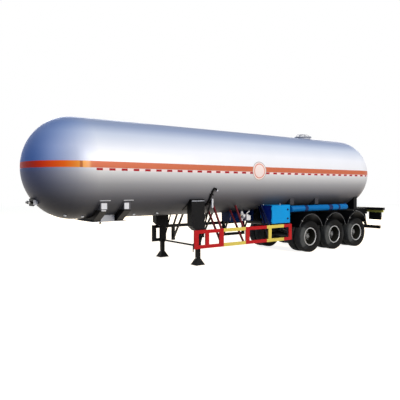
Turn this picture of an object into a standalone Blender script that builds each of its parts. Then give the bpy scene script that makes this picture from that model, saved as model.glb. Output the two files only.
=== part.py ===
"""Three-axle gas tanker semi-trailer, uncoupled and parked on its landing legs.

Metres. +X is forward, towards the kingpin, +Y is the trailer's left and +Z is up. The ground is z = 0
and x = 0 is half way along the whole trailer. The silver pressure vessel is the chassis: a coupler frame
under its front, a pair of leg brackets behind that, and a short subframe with three axles under its rear.
"""

import math

import bmesh
import bpy
from mathutils import Euler, Matrix, Vector

# Clearance left between solids that touch, and the reach of one solid into another that it is welded to.
SEAT_GAP = 0.0003
WELD = 0.004

# Whole trailer
OVERALL_LENGTH = 12.86
FRONT_X = OVERALL_LENGTH / 2
REAR_X = -OVERALL_LENGTH / 2

# Tyres and wheels: 275/80 R22.5 twins
TYRE_RADIUS = 0.506
TYRE_WIDTH = 0.276
RIM_FLANGE_RADIUS = 0.288
RIM_FLANGE_WIDTH = 0.020
RIM_DISH_RADIUS = 0.246
TWIN_SPACING = 0.320
OUTER_TYRE_Y = 1.067
WHEEL_SIDES = 20
INNER_TYRE_Y = OUTER_TYRE_Y - TWIN_SPACING
WHEEL_FACE_Y = (OUTER_TYRE_Y + INNER_TYRE_Y) / 2
AXLE_Z = TYRE_RADIUS

# Heights, chained up from the axles
RAIL_ABOVE_AXLE = 0.569
RAIL_HEIGHT = 0.235
VESSEL_ABOVE_RAIL = 0.017
PLATE_BELOW_VESSEL = 0.072
RAIL_BOTTOM = AXLE_Z + RAIL_ABOVE_AXLE
RAIL_TOP = RAIL_BOTTOM + RAIL_HEIGHT
TANK_BOTTOM_Z = RAIL_TOP + VESSEL_ABOVE_RAIL
PLATE_BOTTOM = TANK_BOTTOM_Z - PLATE_BELOW_VESSEL

# Pressure vessel
TANK_LENGTH = 12.49
TANK_RADIUS = 1.245
TANK_AXIS_Z = TANK_BOTTOM_Z + TANK_RADIUS
HEAD_DEPTH = 1.165
TANK_SIDES = 48
HEAD_RINGS = 6
TANK_FRONT_X = FRONT_X
TANK_REAR_X = TANK_FRONT_X - TANK_LENGTH

# Stations along the trailer
KINGPIN_SETBACK = 1.91
KINGPIN_TO_LEG = 2.41
KINGPIN_TO_AXLE = 6.71
AXLE_SPACING = 1.235
AXLE_COUNT = 3
KINGPIN_X = TANK_FRONT_X - KINGPIN_SETBACK
LEG_X = KINGPIN_X - KINGPIN_TO_LEG
AXLE_1_X = KINGPIN_X - KINGPIN_TO_AXLE
AXLE_XS = [AXLE_1_X - AXLE_SPACING * number for number in range(AXLE_COUNT)]

# Hub and spindle
HUB_RADIUS = 0.132
HUB_CAP_RADIUS = 0.078
HUB_CAP_AHEAD = 0.180
BORE_RADIUS = 0.056
SPINDLE_RADIUS = 0.049
HUB_INNER_Y = 0.575
AXLE_TUBE = 0.150
DRUM_RADIUS = 0.205

# Springs
SPRING_Y = 0.460
SPRING_WIDTH = 0.090
SPRING_HALF_LENGTH = AXLE_SPACING * 0.421
SPRING_STACK = 0.085
SPRING_SAG = 0.070
SPRING_TIP = 0.022
SPRING_STEPS = 3
SPRING_SEAT_HALF = 0.062
SPRING_SEAT_Z = AXLE_Z + AXLE_TUBE / 2 + 0.020
SPRING_END_Z = SPRING_SEAT_Z + SPRING_STACK + SPRING_SAG

# Subframe
RAIL_Y = 0.460
RAIL_WIDTH = 0.140
SUBFRAME_AHEAD = 1.750
CROSS_HEIGHT = 0.120
CROSS_LIFT = 0.030
CROSS_WIDTH = 0.100
CROSS_SETBACK = 0.120
CROSS_REAR = 0.100
REST_LENGTH = 0.220
REST_SETBACK = 0.020
REST_HALF_WIDTH = 0.050
REST_HEIGHT = 0.150
HANGER_CHEEK = 0.010
SUBFRAME_FRONT_X = AXLE_1_X + SUBFRAME_AHEAD

# Brake chambers on the axles, and the air tanks between the rails
CHAMBER_RADIUS = 0.070
CHAMBER_LENGTH = 0.150
CHAMBER_Y = 0.270
CHAMBER_LIFT = 0.145
CHAMBER_AHEAD = 0.060
CHAMBER_ARM_HALF = 0.055
CHAMBER_ARM_THICK = 0.012
AIR_TANK_RADIUS = 0.100
AIR_TANK_HALF = 0.350
AIR_TANK_SETBACK = 0.450
AIR_TANK_SPACING = 0.300
AIR_SHELF_HALF = 0.250
AIR_SHELF_THICK = 0.012

# Rear beam, lamp panels and underrun guard
REAR_BEAM_DEPTH = 0.120
REAR_BEAM_HEIGHT = 0.100
REAR_BEAM_HALF = 1.200
REAR_BEAM_TOP = RAIL_TOP + 0.020
REAR_BEAM_BOTTOM = REAR_BEAM_TOP - REAR_BEAM_HEIGHT
SIGNAL_BOARD_HEIGHT = 0.085
SIGNAL_BOARD_THICK = 0.030
SIGNAL_BOARD_BOTTOM = REAR_BEAM_BOTTOM - SIGNAL_BOARD_HEIGHT
LAMP_PANEL_IN = 0.580
LAMP_PANEL_OUT = 1.080
LAMP_PANEL_HEIGHT = 0.285
LAMP_PANEL_DEPTH = 0.075
UNDERRUN_HALF = 1.050
UNDERRUN_HEIGHT = 0.120
UNDERRUN_BELOW_RAIL = 0.430
UNDERRUN_TOP = RAIL_BOTTOM - UNDERRUN_BELOW_RAIL
UNDERRUN_BOTTOM = UNDERRUN_TOP - UNDERRUN_HEIGHT
UNDERRUN_DEPTH = 0.100
UNDERRUN_SETBACK = 0.020
UNDERRUN_HANGER_WIDTH = 0.060
UNDERRUN_HANGER_SETBACK = 0.050
UNDERRUN_HANGER_LAP = 0.050
UNDERRUN_HANGER_RUN = 0.060
UNDERRUN_HANGER_REACH = 0.240
BOARD_SETBACK = 0.030
BOARD_INSET = 0.030
LAMP_PANEL_SETBACK = 0.010

# Coupler frame and front saddles
PLATE_THICK = 0.012
PLATE_AHEAD = 0.500
PLATE_BEHIND = 0.490
PLATE_HALF_WIDTH = 0.505
PLATE_NOSE_RISE = 0.022
PLATE_NOSE_LENGTH = 0.080
SADDLE_PAD_WIDTH = 0.256
SADDLE_PAD_THICK = 0.014
SADDLE_WEB_WIDTH = 0.180
SADDLE_PAD_DEG = 50.5
SADDLE_PAD_FOOT_DEG = 22.5
SADDLE_HALF_WIDTH = TANK_RADIUS * 0.755
SADDLE_KNEE_LIFT = 0.208
SADDLE_FOOT_HALF = PLATE_HALF_WIDTH - 0.015
FRONT_SADDLE_AHEAD = [0.316, -0.297]
COUPLER_WEB_THICK = 0.020
COUPLER_WEB_Y = PLATE_HALF_WIDTH * 0.90
SADDLE_KNEE_Z = TANK_BOTTOM_Z + SADDLE_KNEE_LIFT
SADDLE_TOP_Z = TANK_AXIS_Z - TANK_RADIUS * math.cos(math.radians(SADDLE_PAD_DEG))

# Kingpin
KINGPIN_DROP = 0.084
KINGPIN_NECK_RADIUS = 0.0254
KINGPIN_COLLAR_RADIUS = 0.0365
KINGPIN_HEAD_RADIUS = 0.0357
KINGPIN_FLANGE_RADIUS = 0.090
KINGPIN_FLANGE_THICK = 0.012
KINGPIN_SIDES = 12

# Hitch panel on the front head
HITCH_SETBACK = 0.200
HITCH_RISE = 0.338
HITCH_HEIGHT = 0.170
HITCH_HALF_WIDTH = 0.170
HITCH_REACH = 0.340
HITCH_COUPLING_LENGTH = 0.085
# Couplings on it: columns are y and radius.
HITCH_COUPLINGS = [(-0.105, 0.026), (0.0, 0.034), (0.105, 0.026)]

# Landing gear
LEG_INSET = 0.324
LEG_Y = TANK_RADIUS - LEG_INSET
LEG_OUTER = 0.130
LEG_INNER = 0.104
LEG_LAP = 0.180
LEG_BRACKET_LENGTH = 0.430
LEG_BRACKET_LEAD = 0.060
LEG_BRACKET_FOOT = 0.250
LEG_BRACKET_SIDE = 0.105
LEG_BRACKET_DROP = 0.392
LEG_BRACKET_TAPER = 0.130
LEG_BRACKET_BOTTOM = TANK_BOTTOM_Z - LEG_BRACKET_DROP
LEG_OUTER_TOP = LEG_BRACKET_BOTTOM + 0.520
LEG_OUTER_BOTTOM = LEG_BRACKET_BOTTOM - 0.480
FOOT_LENGTH = 0.300
FOOT_WIDTH = 0.270
FOOT_NECK = 0.120
FOOT_HEIGHT = 0.165
BRACE_RADIUS = 0.022
BRACE_RUN = 0.480
CROSS_TUBE_RADIUS = 0.026
CROSS_TUBE_LIFT = 0.055
CROSS_TUBE_Z = LEG_OUTER_BOTTOM + CROSS_TUBE_LIFT
CRANK_LIFT = 0.120
CRANK_REACH = 0.090
CRANK_DROP = 0.220
CRANK_RADIUS = 0.014
CRANK_BEND = 0.015

# Vent pipe up the left flank
VENT_AHEAD = -0.360
VENT_RADIUS = 0.024
VENT_DEGREES = [39.0, 48.0, 57.0, 65.0]
VENT_STAND = 0.022
VENT_RISE = 0.044
VENT_DROP = 0.075
VENT_RUN = 0.120

# Side guards and their hangers
GUARD_INSET = 0.127
GUARD_Y = TANK_RADIUS - GUARD_INSET
GUARD_THICK = 0.030
GUARD_BOTTOM = AXLE_Z - 0.051
GUARD_HEIGHT = 0.500
GUARD_TOP = GUARD_BOTTOM + GUARD_HEIGHT
GUARD_RAIL = 0.095
GUARD_FRONT_X = LEG_X + 0.256
GUARD_REAR_X = AXLE_1_X + 0.802
HANGER_WIDTH = 0.050
HANGER_DEPTH = 0.044
HANGER_OUTER_Y = 0.700
WINDOW_OVERCUT = 0.050

# Tool cabinet
CABINET_INSET = 0.145
CABINET_HEIGHT = 0.550
CABINET_ABOVE_GUARD = 0.040
CABINET_CLEARANCE = 0.0015
CABINET_IN_LEAST = 0.700
CABINET_OUT = TANK_RADIUS - CABINET_INSET
CABINET_BOTTOM = GUARD_TOP + CABINET_ABOVE_GUARD
CABINET_TOP = CABINET_BOTTOM + CABINET_HEIGHT
# The inner wall stands where the cabinet's top corner clears the vessel.
CABINET_IN = max(CABINET_IN_LEAST,
                 math.sqrt(TANK_RADIUS ** 2 - (TANK_AXIS_Z - CABINET_TOP) ** 2) + CABINET_CLEARANCE)
CABINET_WALL = 0.016
CABINET_BEHIND_HANGER = 0.046
CABINET_AHEAD_OF_HANGER = 0.008
CABINET_ARM_HEIGHT = 0.100
CABINET_ARM_WIDTH = 0.060
CABINET_ARM_INSET = 0.120
CABINET_ARM_LIFT = 0.060
DOOR_REAR_GAP = 0.006
DOOR_FRONT_GAP = 0.004
DOOR_EDGE_GAP = 0.004
DOOR_GAP = 0.006
DOOR_THICK = 0.018
HINGE_RADIUS = 0.011
HINGE_LENGTH = 0.060
HINGE_AHEAD = 0.003
HINGE_SHARE = 0.18
LUG_THICK = 0.010
LUG_DEPTH = 0.030
LUG_BEHIND_FACE = 0.002
LEAF_HALF = 0.004
LEAF_LAP = 0.050

# Hose tube
TUBE_RADIUS = 0.100
TUBE_WALL = 0.007
TUBE_INSET = 0.145
TUBE_ABOVE_RAIL = 0.010
TUBE_Y = TANK_RADIUS - TUBE_INSET
TUBE_Z = RAIL_TOP + TUBE_ABOVE_RAIL + TUBE_RADIUS
TUBE_LENGTH = 2.796
TUBE_SIDES = 16
TUBE_ARM_WIDTH = 0.060
TUBE_BEHIND_CABINET = 0.030
LID_THICK = 0.016
LID_HINGE_GAP = 0.004
LID_STRAP_DROP = 0.040
TUBE_LUG_LAP = 0.050
TUBE_LUG_DROP = 0.009
# Tube arms: the column is their place behind the tube's front as a share of its length.
TUBE_ARMS = [0.240, 0.680, 0.842]

# Mudguards
MUDGUARD_CLEARANCE = 0.094
MUDGUARD_RADIUS = TYRE_RADIUS + MUDGUARD_CLEARANCE
MUDGUARD_Z = AXLE_Z + 0.159
MUDGUARD_OVERHANG = 0.023
MUDGUARD_IN = INNER_TYRE_Y - TYRE_WIDTH / 2 - MUDGUARD_OVERHANG
MUDGUARD_OUT = OUTER_TYRE_Y + TYRE_WIDTH / 2 + MUDGUARD_OVERHANG
MUDGUARD_SHEET = 0.008
MUDGUARD_LIP = 0.026
MUDGUARD_END_DEG = 16.0
MUDGUARD_STEPS = 10
MUDGUARD_TOP = MUDGUARD_Z + MUDGUARD_RADIUS

# Valve box with its valve and meter
VALVE_BOX_LENGTH = 0.950
VALVE_BOX_AHEAD = 0.053
VALVE_BOX_BELOW_VESSEL = 0.262
VALVE_BOX_IN = 0.030
VALVE_BOX_OUT = 0.420
VALVE_BOX_BOTTOM = TANK_BOTTOM_Z - VALVE_BOX_BELOW_VESSEL
VALVE_BOX_WALL = 0.012
VALVE_SHARE = 0.590
VALVE_Y = 0.330
VALVE_RADIUS = 0.032
VALVE_FLANGE_RADIUS = 0.060
VALVE_FLANGE_THICK = 0.020
VALVE_FLANGE_SPREAD = 0.065
VALVE_LIFT = 0.020
OUTLET_RADIUS = 0.034
OUTLET_REACH = 0.130
METER_SHARE = 0.810
METER_WIDTH = 0.170
METER_Y = 0.330
METER_HEIGHT = 0.155
METER_HEAD_RADIUS = 0.055
METER_HEAD_HEIGHT = 0.030
METER_PIPE_RUN = 0.110
METER_PIPE_RADIUS = 0.018
# How far a pipe or wall runs into the vessel's outline before it is cut back to the wall.
ROOF_ENTRY = 0.030

# Manhole
MANHOLE_BEHIND_AXLE = 0.990
MANHOLE_RADIUS = 0.300
MANHOLE_FLANGE = 0.030
MANHOLE_RISE = 0.063
HOOP_RISE = 0.158
HOOP_BAR = 0.011
SAFETY_VALVE_RADIUS = 0.042
SAFETY_VALVE_HEIGHT = 0.070
SAFETY_VALVE_OFFSET = 0.130


def clear_scene():
    """Remove every object that the file opened with."""
    for obj in list(bpy.data.objects):
        bpy.data.objects.remove(obj, do_unlink=True)


def collection(name):
    """Return the scene's collection of that name, made if it isn't there."""
    found = bpy.data.collections.get(name)
    if found is None:
        found = bpy.data.collections.new(name)
        bpy.context.scene.collection.children.link(found)
    return found


def finish(name, colour, roughness, metallic):
    """Return a Principled BSDF material."""
    material = bpy.data.materials.new(name)
    material.use_nodes = True
    shader = material.node_tree.nodes["Principled BSDF"]
    shader.inputs["Base Color"].default_value = (*colour, 1.0)
    shader.inputs["Roughness"].default_value = roughness
    shader.inputs["Metallic"].default_value = metallic
    return material


clear_scene()
PARTS = collection("tanker_trailer")
SHAPES = collection("construction_shapes")

SILVER = finish("silver_enamel", (0.62, 0.64, 0.66), 0.25, 0.6)
BLACK = finish("black_chassis_paint", (0.015, 0.015, 0.018), 0.45, 0.0)
RED = finish("red_guard_paint", (0.55, 0.02, 0.02), 0.40, 0.0)
BLUE = finish("blue_cabinet_paint", (0.01, 0.30, 0.78), 0.35, 0.0)
RUBBER = finish("tyre_rubber", (0.02, 0.02, 0.02), 0.85, 0.0)
RIM_PAINT = finish("grey_rim_paint", (0.35, 0.36, 0.37), 0.40, 0.3)
STEEL = finish("plain_steel", (0.45, 0.46, 0.48), 0.35, 0.9)


def keep(obj, material):
    """Put an object in the trailer's collection with its finish."""
    for owner in list(obj.users_collection):
        owner.objects.unlink(obj)
    PARTS.objects.link(obj)
    obj.hide_render = False
    obj.display_type = "TEXTURED"
    obj.data.materials.clear()
    obj.data.materials.append(material)
    return obj


def set_aside(obj):
    """Put an object among the construction shapes, out of the render."""
    for owner in list(obj.users_collection):
        owner.objects.unlink(obj)
    SHAPES.objects.link(obj)
    obj.hide_render = True
    obj.display_type = "WIRE"
    return obj


def mesh_object(name, bm):
    """Turn a bmesh into an object among the construction shapes."""
    mesh = bpy.data.meshes.new(name)
    bm.to_mesh(mesh)
    bm.free()
    return set_aside(linked(bpy.data.objects.new(name, mesh)))


def linked(obj):
    """Link a new object to the scene so that it can be evaluated."""
    bpy.context.scene.collection.objects.link(obj)
    return obj


def box(name, xs, ys, zs):
    """Box between the lower and upper values of x, y and z."""
    bm = bmesh.new()
    bmesh.ops.create_cube(bm, size=1.0)
    low = Vector((min(xs), min(ys), min(zs)))
    high = Vector((max(xs), max(ys), max(zs)))
    bmesh.ops.scale(bm, vec=high - low, verts=bm.verts)
    obj = mesh_object(name, bm)
    obj.location = (low + high) / 2
    return obj


def rod(name, start, end, radius, sides=8):
    """Round bar between two points."""
    start, end = Vector(start), Vector(end)
    bm = bmesh.new()
    bmesh.ops.create_cone(bm, cap_ends=True, segments=sides, radius1=radius, radius2=radius,
                          depth=(end - start).length)
    obj = mesh_object(name, bm)
    obj.rotation_mode = "QUATERNION"
    obj.rotation_quaternion = (end - start).to_track_quat("Z", "Y")
    obj.location = (start + end) / 2
    return obj


def plate(name, outline, plane, start, end):
    """Flat outline in the plane xz or yz, carried between two values of the third axis."""
    curve = bpy.data.curves.new(name, "CURVE")
    curve.dimensions = "2D"
    curve.fill_mode = "BOTH"
    curve.extrude = abs(end - start) / 2
    spline = curve.splines.new("POLY")
    spline.points.add(len(outline) - 1)
    for point, (u, v) in zip(spline.points, outline):
        point.co = (u, v, 0.0, 1.0)
    spline.use_cyclic_u = True
    flat = linked(bpy.data.objects.new(name + "_outline", curve))
    middle = (start + end) / 2
    if plane == "xz":
        upright = Euler((math.pi / 2, 0, 0)).to_matrix().to_4x4()
        flat.matrix_world = Matrix.Translation((0, middle, 0)) @ upright
    else:
        axes = Matrix(((0, 0, 1, 0), (1, 0, 0, 0), (0, 1, 0, 0), (0, 0, 0, 1)))
        flat.matrix_world = Matrix.Translation((middle, 0, 0)) @ axes
    bpy.context.view_layer.update()
    solid = as_mesh(flat, name)
    bpy.data.objects.remove(flat, do_unlink=True)
    return solid


def as_mesh(source, name):
    """Closed mesh of an evaluated curve, with its caps welded."""
    evaluated = source.evaluated_get(bpy.context.evaluated_depsgraph_get())
    mesh = bpy.data.meshes.new_from_object(evaluated)
    bm = bmesh.new()
    bm.from_mesh(mesh)
    bpy.data.meshes.remove(mesh)
    bmesh.ops.remove_doubles(bm, verts=bm.verts, dist=0.00005)
    bmesh.ops.recalc_face_normals(bm, faces=bm.faces)
    solid = mesh_object(name, bm)
    solid.matrix_world = source.matrix_world
    return solid


def turned(name, profile, sides):
    """Solid of revolution about local Z. The profile runs down its outer side, and may be a closed ring."""
    ring = profile[0] == profile[-1]
    points = profile[:-1] if ring else profile
    edges = [(i, i + 1) for i in range(len(points) - 1)]
    if ring:
        edges.append((len(points) - 1, 0))
    mesh = bpy.data.meshes.new(name)
    mesh.from_pydata([(radius, 0.0, height) for radius, height in points], edges, [])
    obj = linked(bpy.data.objects.new(name, mesh))
    screw = obj.modifiers.new("turn", "SCREW")
    screw.axis = "Z"
    screw.steps = sides
    screw.render_steps = sides
    screw.use_merge_vertices = True
    screw.merge_threshold = 0.0001
    screw.use_smooth_shade = False
    return set_aside(obj)


def tube(name, points, radius, sides_level=2):
    """Pipe along straight runs through the points, as a closed mesh."""
    curve = bpy.data.curves.new(name, "CURVE")
    curve.dimensions = "3D"
    curve.bevel_depth = radius
    curve.bevel_resolution = sides_level
    curve.use_fill_caps = True
    spline = curve.splines.new("POLY")
    spline.points.add(len(points) - 1)
    for point, place in zip(spline.points, points):
        point.co = (*place, 1.0)
    path = linked(bpy.data.objects.new(name + "_path", curve))
    bpy.context.view_layer.update()
    solid = as_mesh(path, name)
    bpy.data.objects.remove(path, do_unlink=True)
    return solid


def combine(base, others, operation):
    """Join shapes to a base, or cut them out of it, with live Boolean modifiers."""
    for other in others:
        modifier = base.modifiers.new(operation.lower() + "_" + other.name, "BOOLEAN")
        modifier.operation = operation
        modifier.solver = "EXACT"
        modifier.object = other
    return base


def weld(base, others):
    """Union of a base and the shapes welded to it."""
    return combine(base, others, "UNION")


def cut(base, others):
    """A base less the shapes cut out of it."""
    return combine(base, others, "DIFFERENCE")


def tank_profile(offset):
    """Outline of the vessel, nose to tail, grown outwards by the offset."""
    radius = TANK_RADIUS + offset
    depth = HEAD_DEPTH + offset
    front = TANK_FRONT_X - HEAD_DEPTH
    rear = TANK_REAR_X + HEAD_DEPTH
    arc = [math.pi / 2 * ring / HEAD_RINGS for ring in range(HEAD_RINGS + 1)]
    nose = [(radius * math.sin(angle), front + depth * math.cos(angle)) for angle in arc]
    tail = [(r, rear - (x - front)) for r, x in reversed(nose)]
    points = nose + tail
    points[0] = (0.0, points[0][1])
    points[-1] = (0.0, points[-1][1])
    return points


def vessel(name, offset):
    """The vessel's body of revolution, laid along X."""
    body = turned(name, tank_profile(offset), TANK_SIDES)
    body.rotation_euler = (0.0, math.pi / 2, 0.0)
    body.location = (0.0, 0.0, TANK_AXIS_Z)
    return body


def tank_arc(start_deg, end_deg, offset):
    """Points along the vessel's faceted wall; degrees run from straight down towards +Y."""
    step = 360.0 / TANK_SIDES
    inner = [k * step for k in range(math.ceil(start_deg / step), math.floor(end_deg / step) + 1)]
    angles = sorted({start_deg, end_deg, *inner})
    points = []
    for angle in angles:
        middle = (math.floor(angle / step) + 0.5) * step if angle % step else angle
        spread = math.radians(angle - middle)
        flat = math.cos(math.radians(step / 2)) / math.cos(spread) if angle % step else 1.0
        radius = TANK_RADIUS * flat + offset / math.cos(math.radians(step / 2))
        turn = math.radians(angle)
        points.append((radius * math.sin(turn), TANK_AXIS_Z - radius * math.cos(turn)))
    return points


def doubler(name, start_deg, end_deg, x_low, x_high):
    """Curved doubler plate between the vessel and what carries it."""
    inner = tank_arc(start_deg, end_deg, SEAT_GAP)
    outer = tank_arc(start_deg, end_deg, SEAT_GAP + SADDLE_PAD_THICK)
    return plate(name, inner + outer[::-1], "yz", x_low, x_high)


TANK_CLEARANCE = vessel("vessel_clearance", SEAT_GAP)


def build_tank():
    """Pressure vessel: a rolled shell with two deep domed heads."""
    keep(vessel("tank", 0.0), SILVER)


def build_coupler_frame():
    """Rub plate with a rising nose and a hole for the pin, and the webs that tie it to the front saddles."""
    bottom = PLATE_BOTTOM
    nose = KINGPIN_X + PLATE_AHEAD
    bend = nose - PLATE_NOSE_LENGTH
    tail = KINGPIN_X - PLATE_BEHIND
    outline = [(tail, bottom), (bend, bottom), (nose, bottom + PLATE_NOSE_RISE),
               (nose, bottom + PLATE_NOSE_RISE + PLATE_THICK), (bend, bottom + PLATE_THICK),
               (tail, bottom + PLATE_THICK)]
    frame = plate("coupler_frame", outline, "xz", -PLATE_HALF_WIDTH, PLATE_HALF_WIDTH)
    half = SADDLE_PAD_WIDTH / 2 + SEAT_GAP
    web_low = bottom + PLATE_THICK - WELD
    web_high = TANK_BOTTOM_Z + TANK_RADIUS / 4
    ahead, behind = [KINGPIN_X + offset for offset in FRONT_SADDLE_AHEAD]
    webs = []
    for side in (1, -1):
        ys = (side * COUPLER_WEB_Y, side * (COUPLER_WEB_Y + COUPLER_WEB_THICK))
        webs.append(box(f"coupler_web_{side}", (behind + half, ahead - half), ys, (web_low, web_high)))
    weld(frame, webs)
    hole = rod("kingpin_hole", (KINGPIN_X, 0.0, bottom - 0.1), (KINGPIN_X, 0.0, bottom + PLATE_THICK + 0.002),
               KINGPIN_COLLAR_RADIUS + SEAT_GAP, KINGPIN_SIDES)
    cut(frame, [hole, TANK_CLEARANCE])
    keep(frame, BLACK)


def build_kingpin():
    """Coupling pin: a flange that rests on the rub plate, and the collar, neck and head below it."""
    seat = PLATE_THICK + SEAT_GAP
    top = seat + KINGPIN_FLANGE_THICK
    profile = [(0.0, top), (KINGPIN_FLANGE_RADIUS, top), (KINGPIN_FLANGE_RADIUS, seat),
               (KINGPIN_COLLAR_RADIUS, seat), (KINGPIN_COLLAR_RADIUS, -0.035),
               (KINGPIN_NECK_RADIUS, -0.036), (KINGPIN_NECK_RADIUS, -0.069),
               (KINGPIN_HEAD_RADIUS, -0.070), (KINGPIN_HEAD_RADIUS, -KINGPIN_DROP), (0.0, -KINGPIN_DROP)]
    pin = turned("kingpin", profile, KINGPIN_SIDES)
    pin.rotation_euler = (0.0, 0.0, math.pi / 2)
    pin.location = (KINGPIN_X, 0.0, PLATE_BOTTOM)
    keep(pin, STEEL)


def saddle(name, x_middle, base_z, foot_half):
    """V-shaped cross support: doubler plates on the vessel over a web that narrows to its foot."""
    half = SADDLE_WEB_WIDTH / 2
    outline = [(-foot_half, base_z), (foot_half, base_z), (SADDLE_HALF_WIDTH, SADDLE_KNEE_Z),
               (SADDLE_HALF_WIDTH, SADDLE_TOP_Z), (-SADDLE_HALF_WIDTH, SADDLE_TOP_Z),
               (-SADDLE_HALF_WIDTH, SADDLE_KNEE_Z)]
    web = plate(name, outline, "yz", x_middle - half, x_middle + half)
    pad_half = SADDLE_PAD_WIDTH / 2
    pads = [doubler(f"{name}_pad_{side}", *degrees, x_middle - pad_half, x_middle + pad_half)
            for side, degrees in (("left", (SADDLE_PAD_FOOT_DEG, SADDLE_PAD_DEG)),
                                   ("right", (-SADDLE_PAD_DEG, -SADDLE_PAD_FOOT_DEG)))]
    weld(web, pads)
    return cut(web, [TANK_CLEARANCE])


def build_front_saddles():
    """The two saddles that stand on the rub plate."""
    base = PLATE_BOTTOM + PLATE_THICK + SEAT_GAP
    for number, offset in enumerate(FRONT_SADDLE_AHEAD, 1):
        keep(saddle(f"front_saddle_{number}", KINGPIN_X + offset, base, SADDLE_FOOT_HALF), BLACK)


def build_hitch_panel():
    """Bracket low on the front head with the air and electric connections."""
    low = TANK_BOTTOM_Z + HITCH_RISE
    high = low + HITCH_HEIGHT
    half = HITCH_HALF_WIDTH
    front = TANK_FRONT_X - HITCH_SETBACK
    back = front - HITCH_REACH
    outline = [(front - 0.015, low), (front, low), (front, high), (back, high + 0.06),
               (back, high + 0.045), (front - 0.015, high - 0.015)]
    panel = plate("hitch_panel", outline, "xz", -half, half)
    gusset_outline = [(front - 0.010, low + 0.01), (front - 0.010, high - 0.01), (back, high + 0.05),
                      (back + 0.09, high - 0.05)]
    gussets = [plate(f"hitch_gusset_{side}", gusset_outline, "xz", side * half - 0.006, side * half + 0.006)
               for side in (1, -1)]
    middle = (low + high) / 2
    couplings = [rod(f"hitch_coupling_{number}", (front - 0.012, y, middle),
                     (front + HITCH_COUPLING_LENGTH, y, middle), radius)
                 for number, (y, radius) in enumerate(HITCH_COUPLINGS)]
    weld(panel, gussets + couplings)
    cut(panel, [TANK_CLEARANCE])
    keep(panel, BLACK)


def landing_bracket(label, side):
    """Box round the top of a leg, tapered at its foot, hung from a doubler plate on the vessel's flank."""
    middle = LEG_X + LEG_BRACKET_LEAD
    half = LEG_BRACKET_LENGTH / 2
    foot = LEG_BRACKET_FOOT / 2
    taper = LEG_BRACKET_BOTTOM + LEG_BRACKET_TAPER
    top = SADDLE_TOP_Z - 0.010
    outline = [(LEG_X - foot, LEG_BRACKET_BOTTOM), (LEG_X + foot, LEG_BRACKET_BOTTOM),
               (middle + half, taper), (middle + half, top), (middle - half, top), (middle - half, taper)]
    ys = sorted((side * (LEG_Y - LEG_BRACKET_SIDE), side * (LEG_Y + LEG_BRACKET_SIDE)))
    bracket = plate(f"landing_bracket_{label}", outline, "xz", *ys)
    degrees = sorted((side * (SADDLE_PAD_FOOT_DEG + 6.0), side * SADDLE_PAD_DEG))
    pad = doubler(f"landing_pad_{label}", *degrees, middle - half - 0.02, middle + half + 0.02)
    weld(bracket, [pad])
    reach = LEG_OUTER / 2 + SEAT_GAP
    y = side * LEG_Y
    pocket = box(f"leg_pocket_{label}", (LEG_X - reach, LEG_X + reach), (y - reach, y + reach),
                 (LEG_BRACKET_BOTTOM - 0.1, LEG_OUTER_TOP + SEAT_GAP))
    cut(bracket, [pocket, TANK_CLEARANCE])
    keep(bracket, BLACK)


def build_landing_gear():
    """Brackets on the vessel's flanks, box legs with sand shoes, a cross tube and the crank."""
    outer_half = LEG_OUTER / 2
    inner_half = LEG_INNER / 2
    for side, label in ((1, "left"), (-1, "right")):
        landing_bracket(label, side)
        y = side * LEG_Y
        outer = box(f"leg_outer_{label}", (LEG_X - outer_half, LEG_X + outer_half),
                    (y - outer_half, y + outer_half), (LEG_OUTER_BOTTOM, LEG_OUTER_TOP))
        bore_half = inner_half + SEAT_GAP
        bore = box(f"leg_bore_{label}", (LEG_X - bore_half, LEG_X + bore_half),
                   (y - bore_half, y + bore_half),
                   (LEG_OUTER_BOTTOM - 0.1, LEG_OUTER_BOTTOM + LEG_LAP + SEAT_GAP))
        brace_low = (LEG_X - outer_half + 0.01, y, LEG_OUTER_BOTTOM + LEG_LAP * 0.3)
        brace_high = (LEG_X - BRACE_RUN, y, SADDLE_TOP_Z + 0.05)
        brace = rod(f"leg_brace_{label}", brace_low, brace_high, BRACE_RADIUS, 8)
        weld(outer, [brace])
        cut(outer, [bore, TANK_CLEARANCE])
        keep(outer, BLACK)

        inner = box(f"leg_inner_{label}", (LEG_X - inner_half, LEG_X + inner_half),
                    (y - inner_half, y + inner_half), (FOOT_HEIGHT - WELD, LEG_OUTER_BOTTOM + LEG_LAP))
        weld(inner, [sand_shoe(f"sand_shoe_{label}", y)])
        keep(inner, BLACK)

    reach = LEG_Y - outer_half - SEAT_GAP
    cross = rod("leg_cross_tube", (LEG_X, -reach, CROSS_TUBE_Z), (LEG_X, reach, CROSS_TUBE_Z),
                CROSS_TUBE_RADIUS)
    keep(cross, BLACK)
    nose = LEG_X + outer_half + SEAT_GAP
    arm = nose + CRANK_REACH
    axis_z = LEG_OUTER_BOTTOM + CRANK_LIFT
    crank = tube("crank_handle", [(nose, LEG_Y, axis_z), (arm - CRANK_BEND, LEG_Y, axis_z),
                                  (arm, LEG_Y, axis_z - CRANK_BEND), (arm, LEG_Y, axis_z - CRANK_DROP)],
                 CRANK_RADIUS)
    keep(crank, BLACK)


def sand_shoe(name, y):
    """Foot of a leg: a flat sole under a pyramid that narrows to the leg."""
    bm = bmesh.new()
    bmesh.ops.create_cube(bm, size=1.0)
    for vert in bm.verts:
        upper = vert.co.z > 0
        vert.co.x *= FOOT_NECK if upper else FOOT_LENGTH
        vert.co.y *= FOOT_NECK if upper else FOOT_WIDTH
        vert.co.z = FOOT_HEIGHT if upper else 0.0
    shoe = mesh_object(name, bm)
    shoe.location = (LEG_X, y, 0.0)
    return shoe


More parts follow.
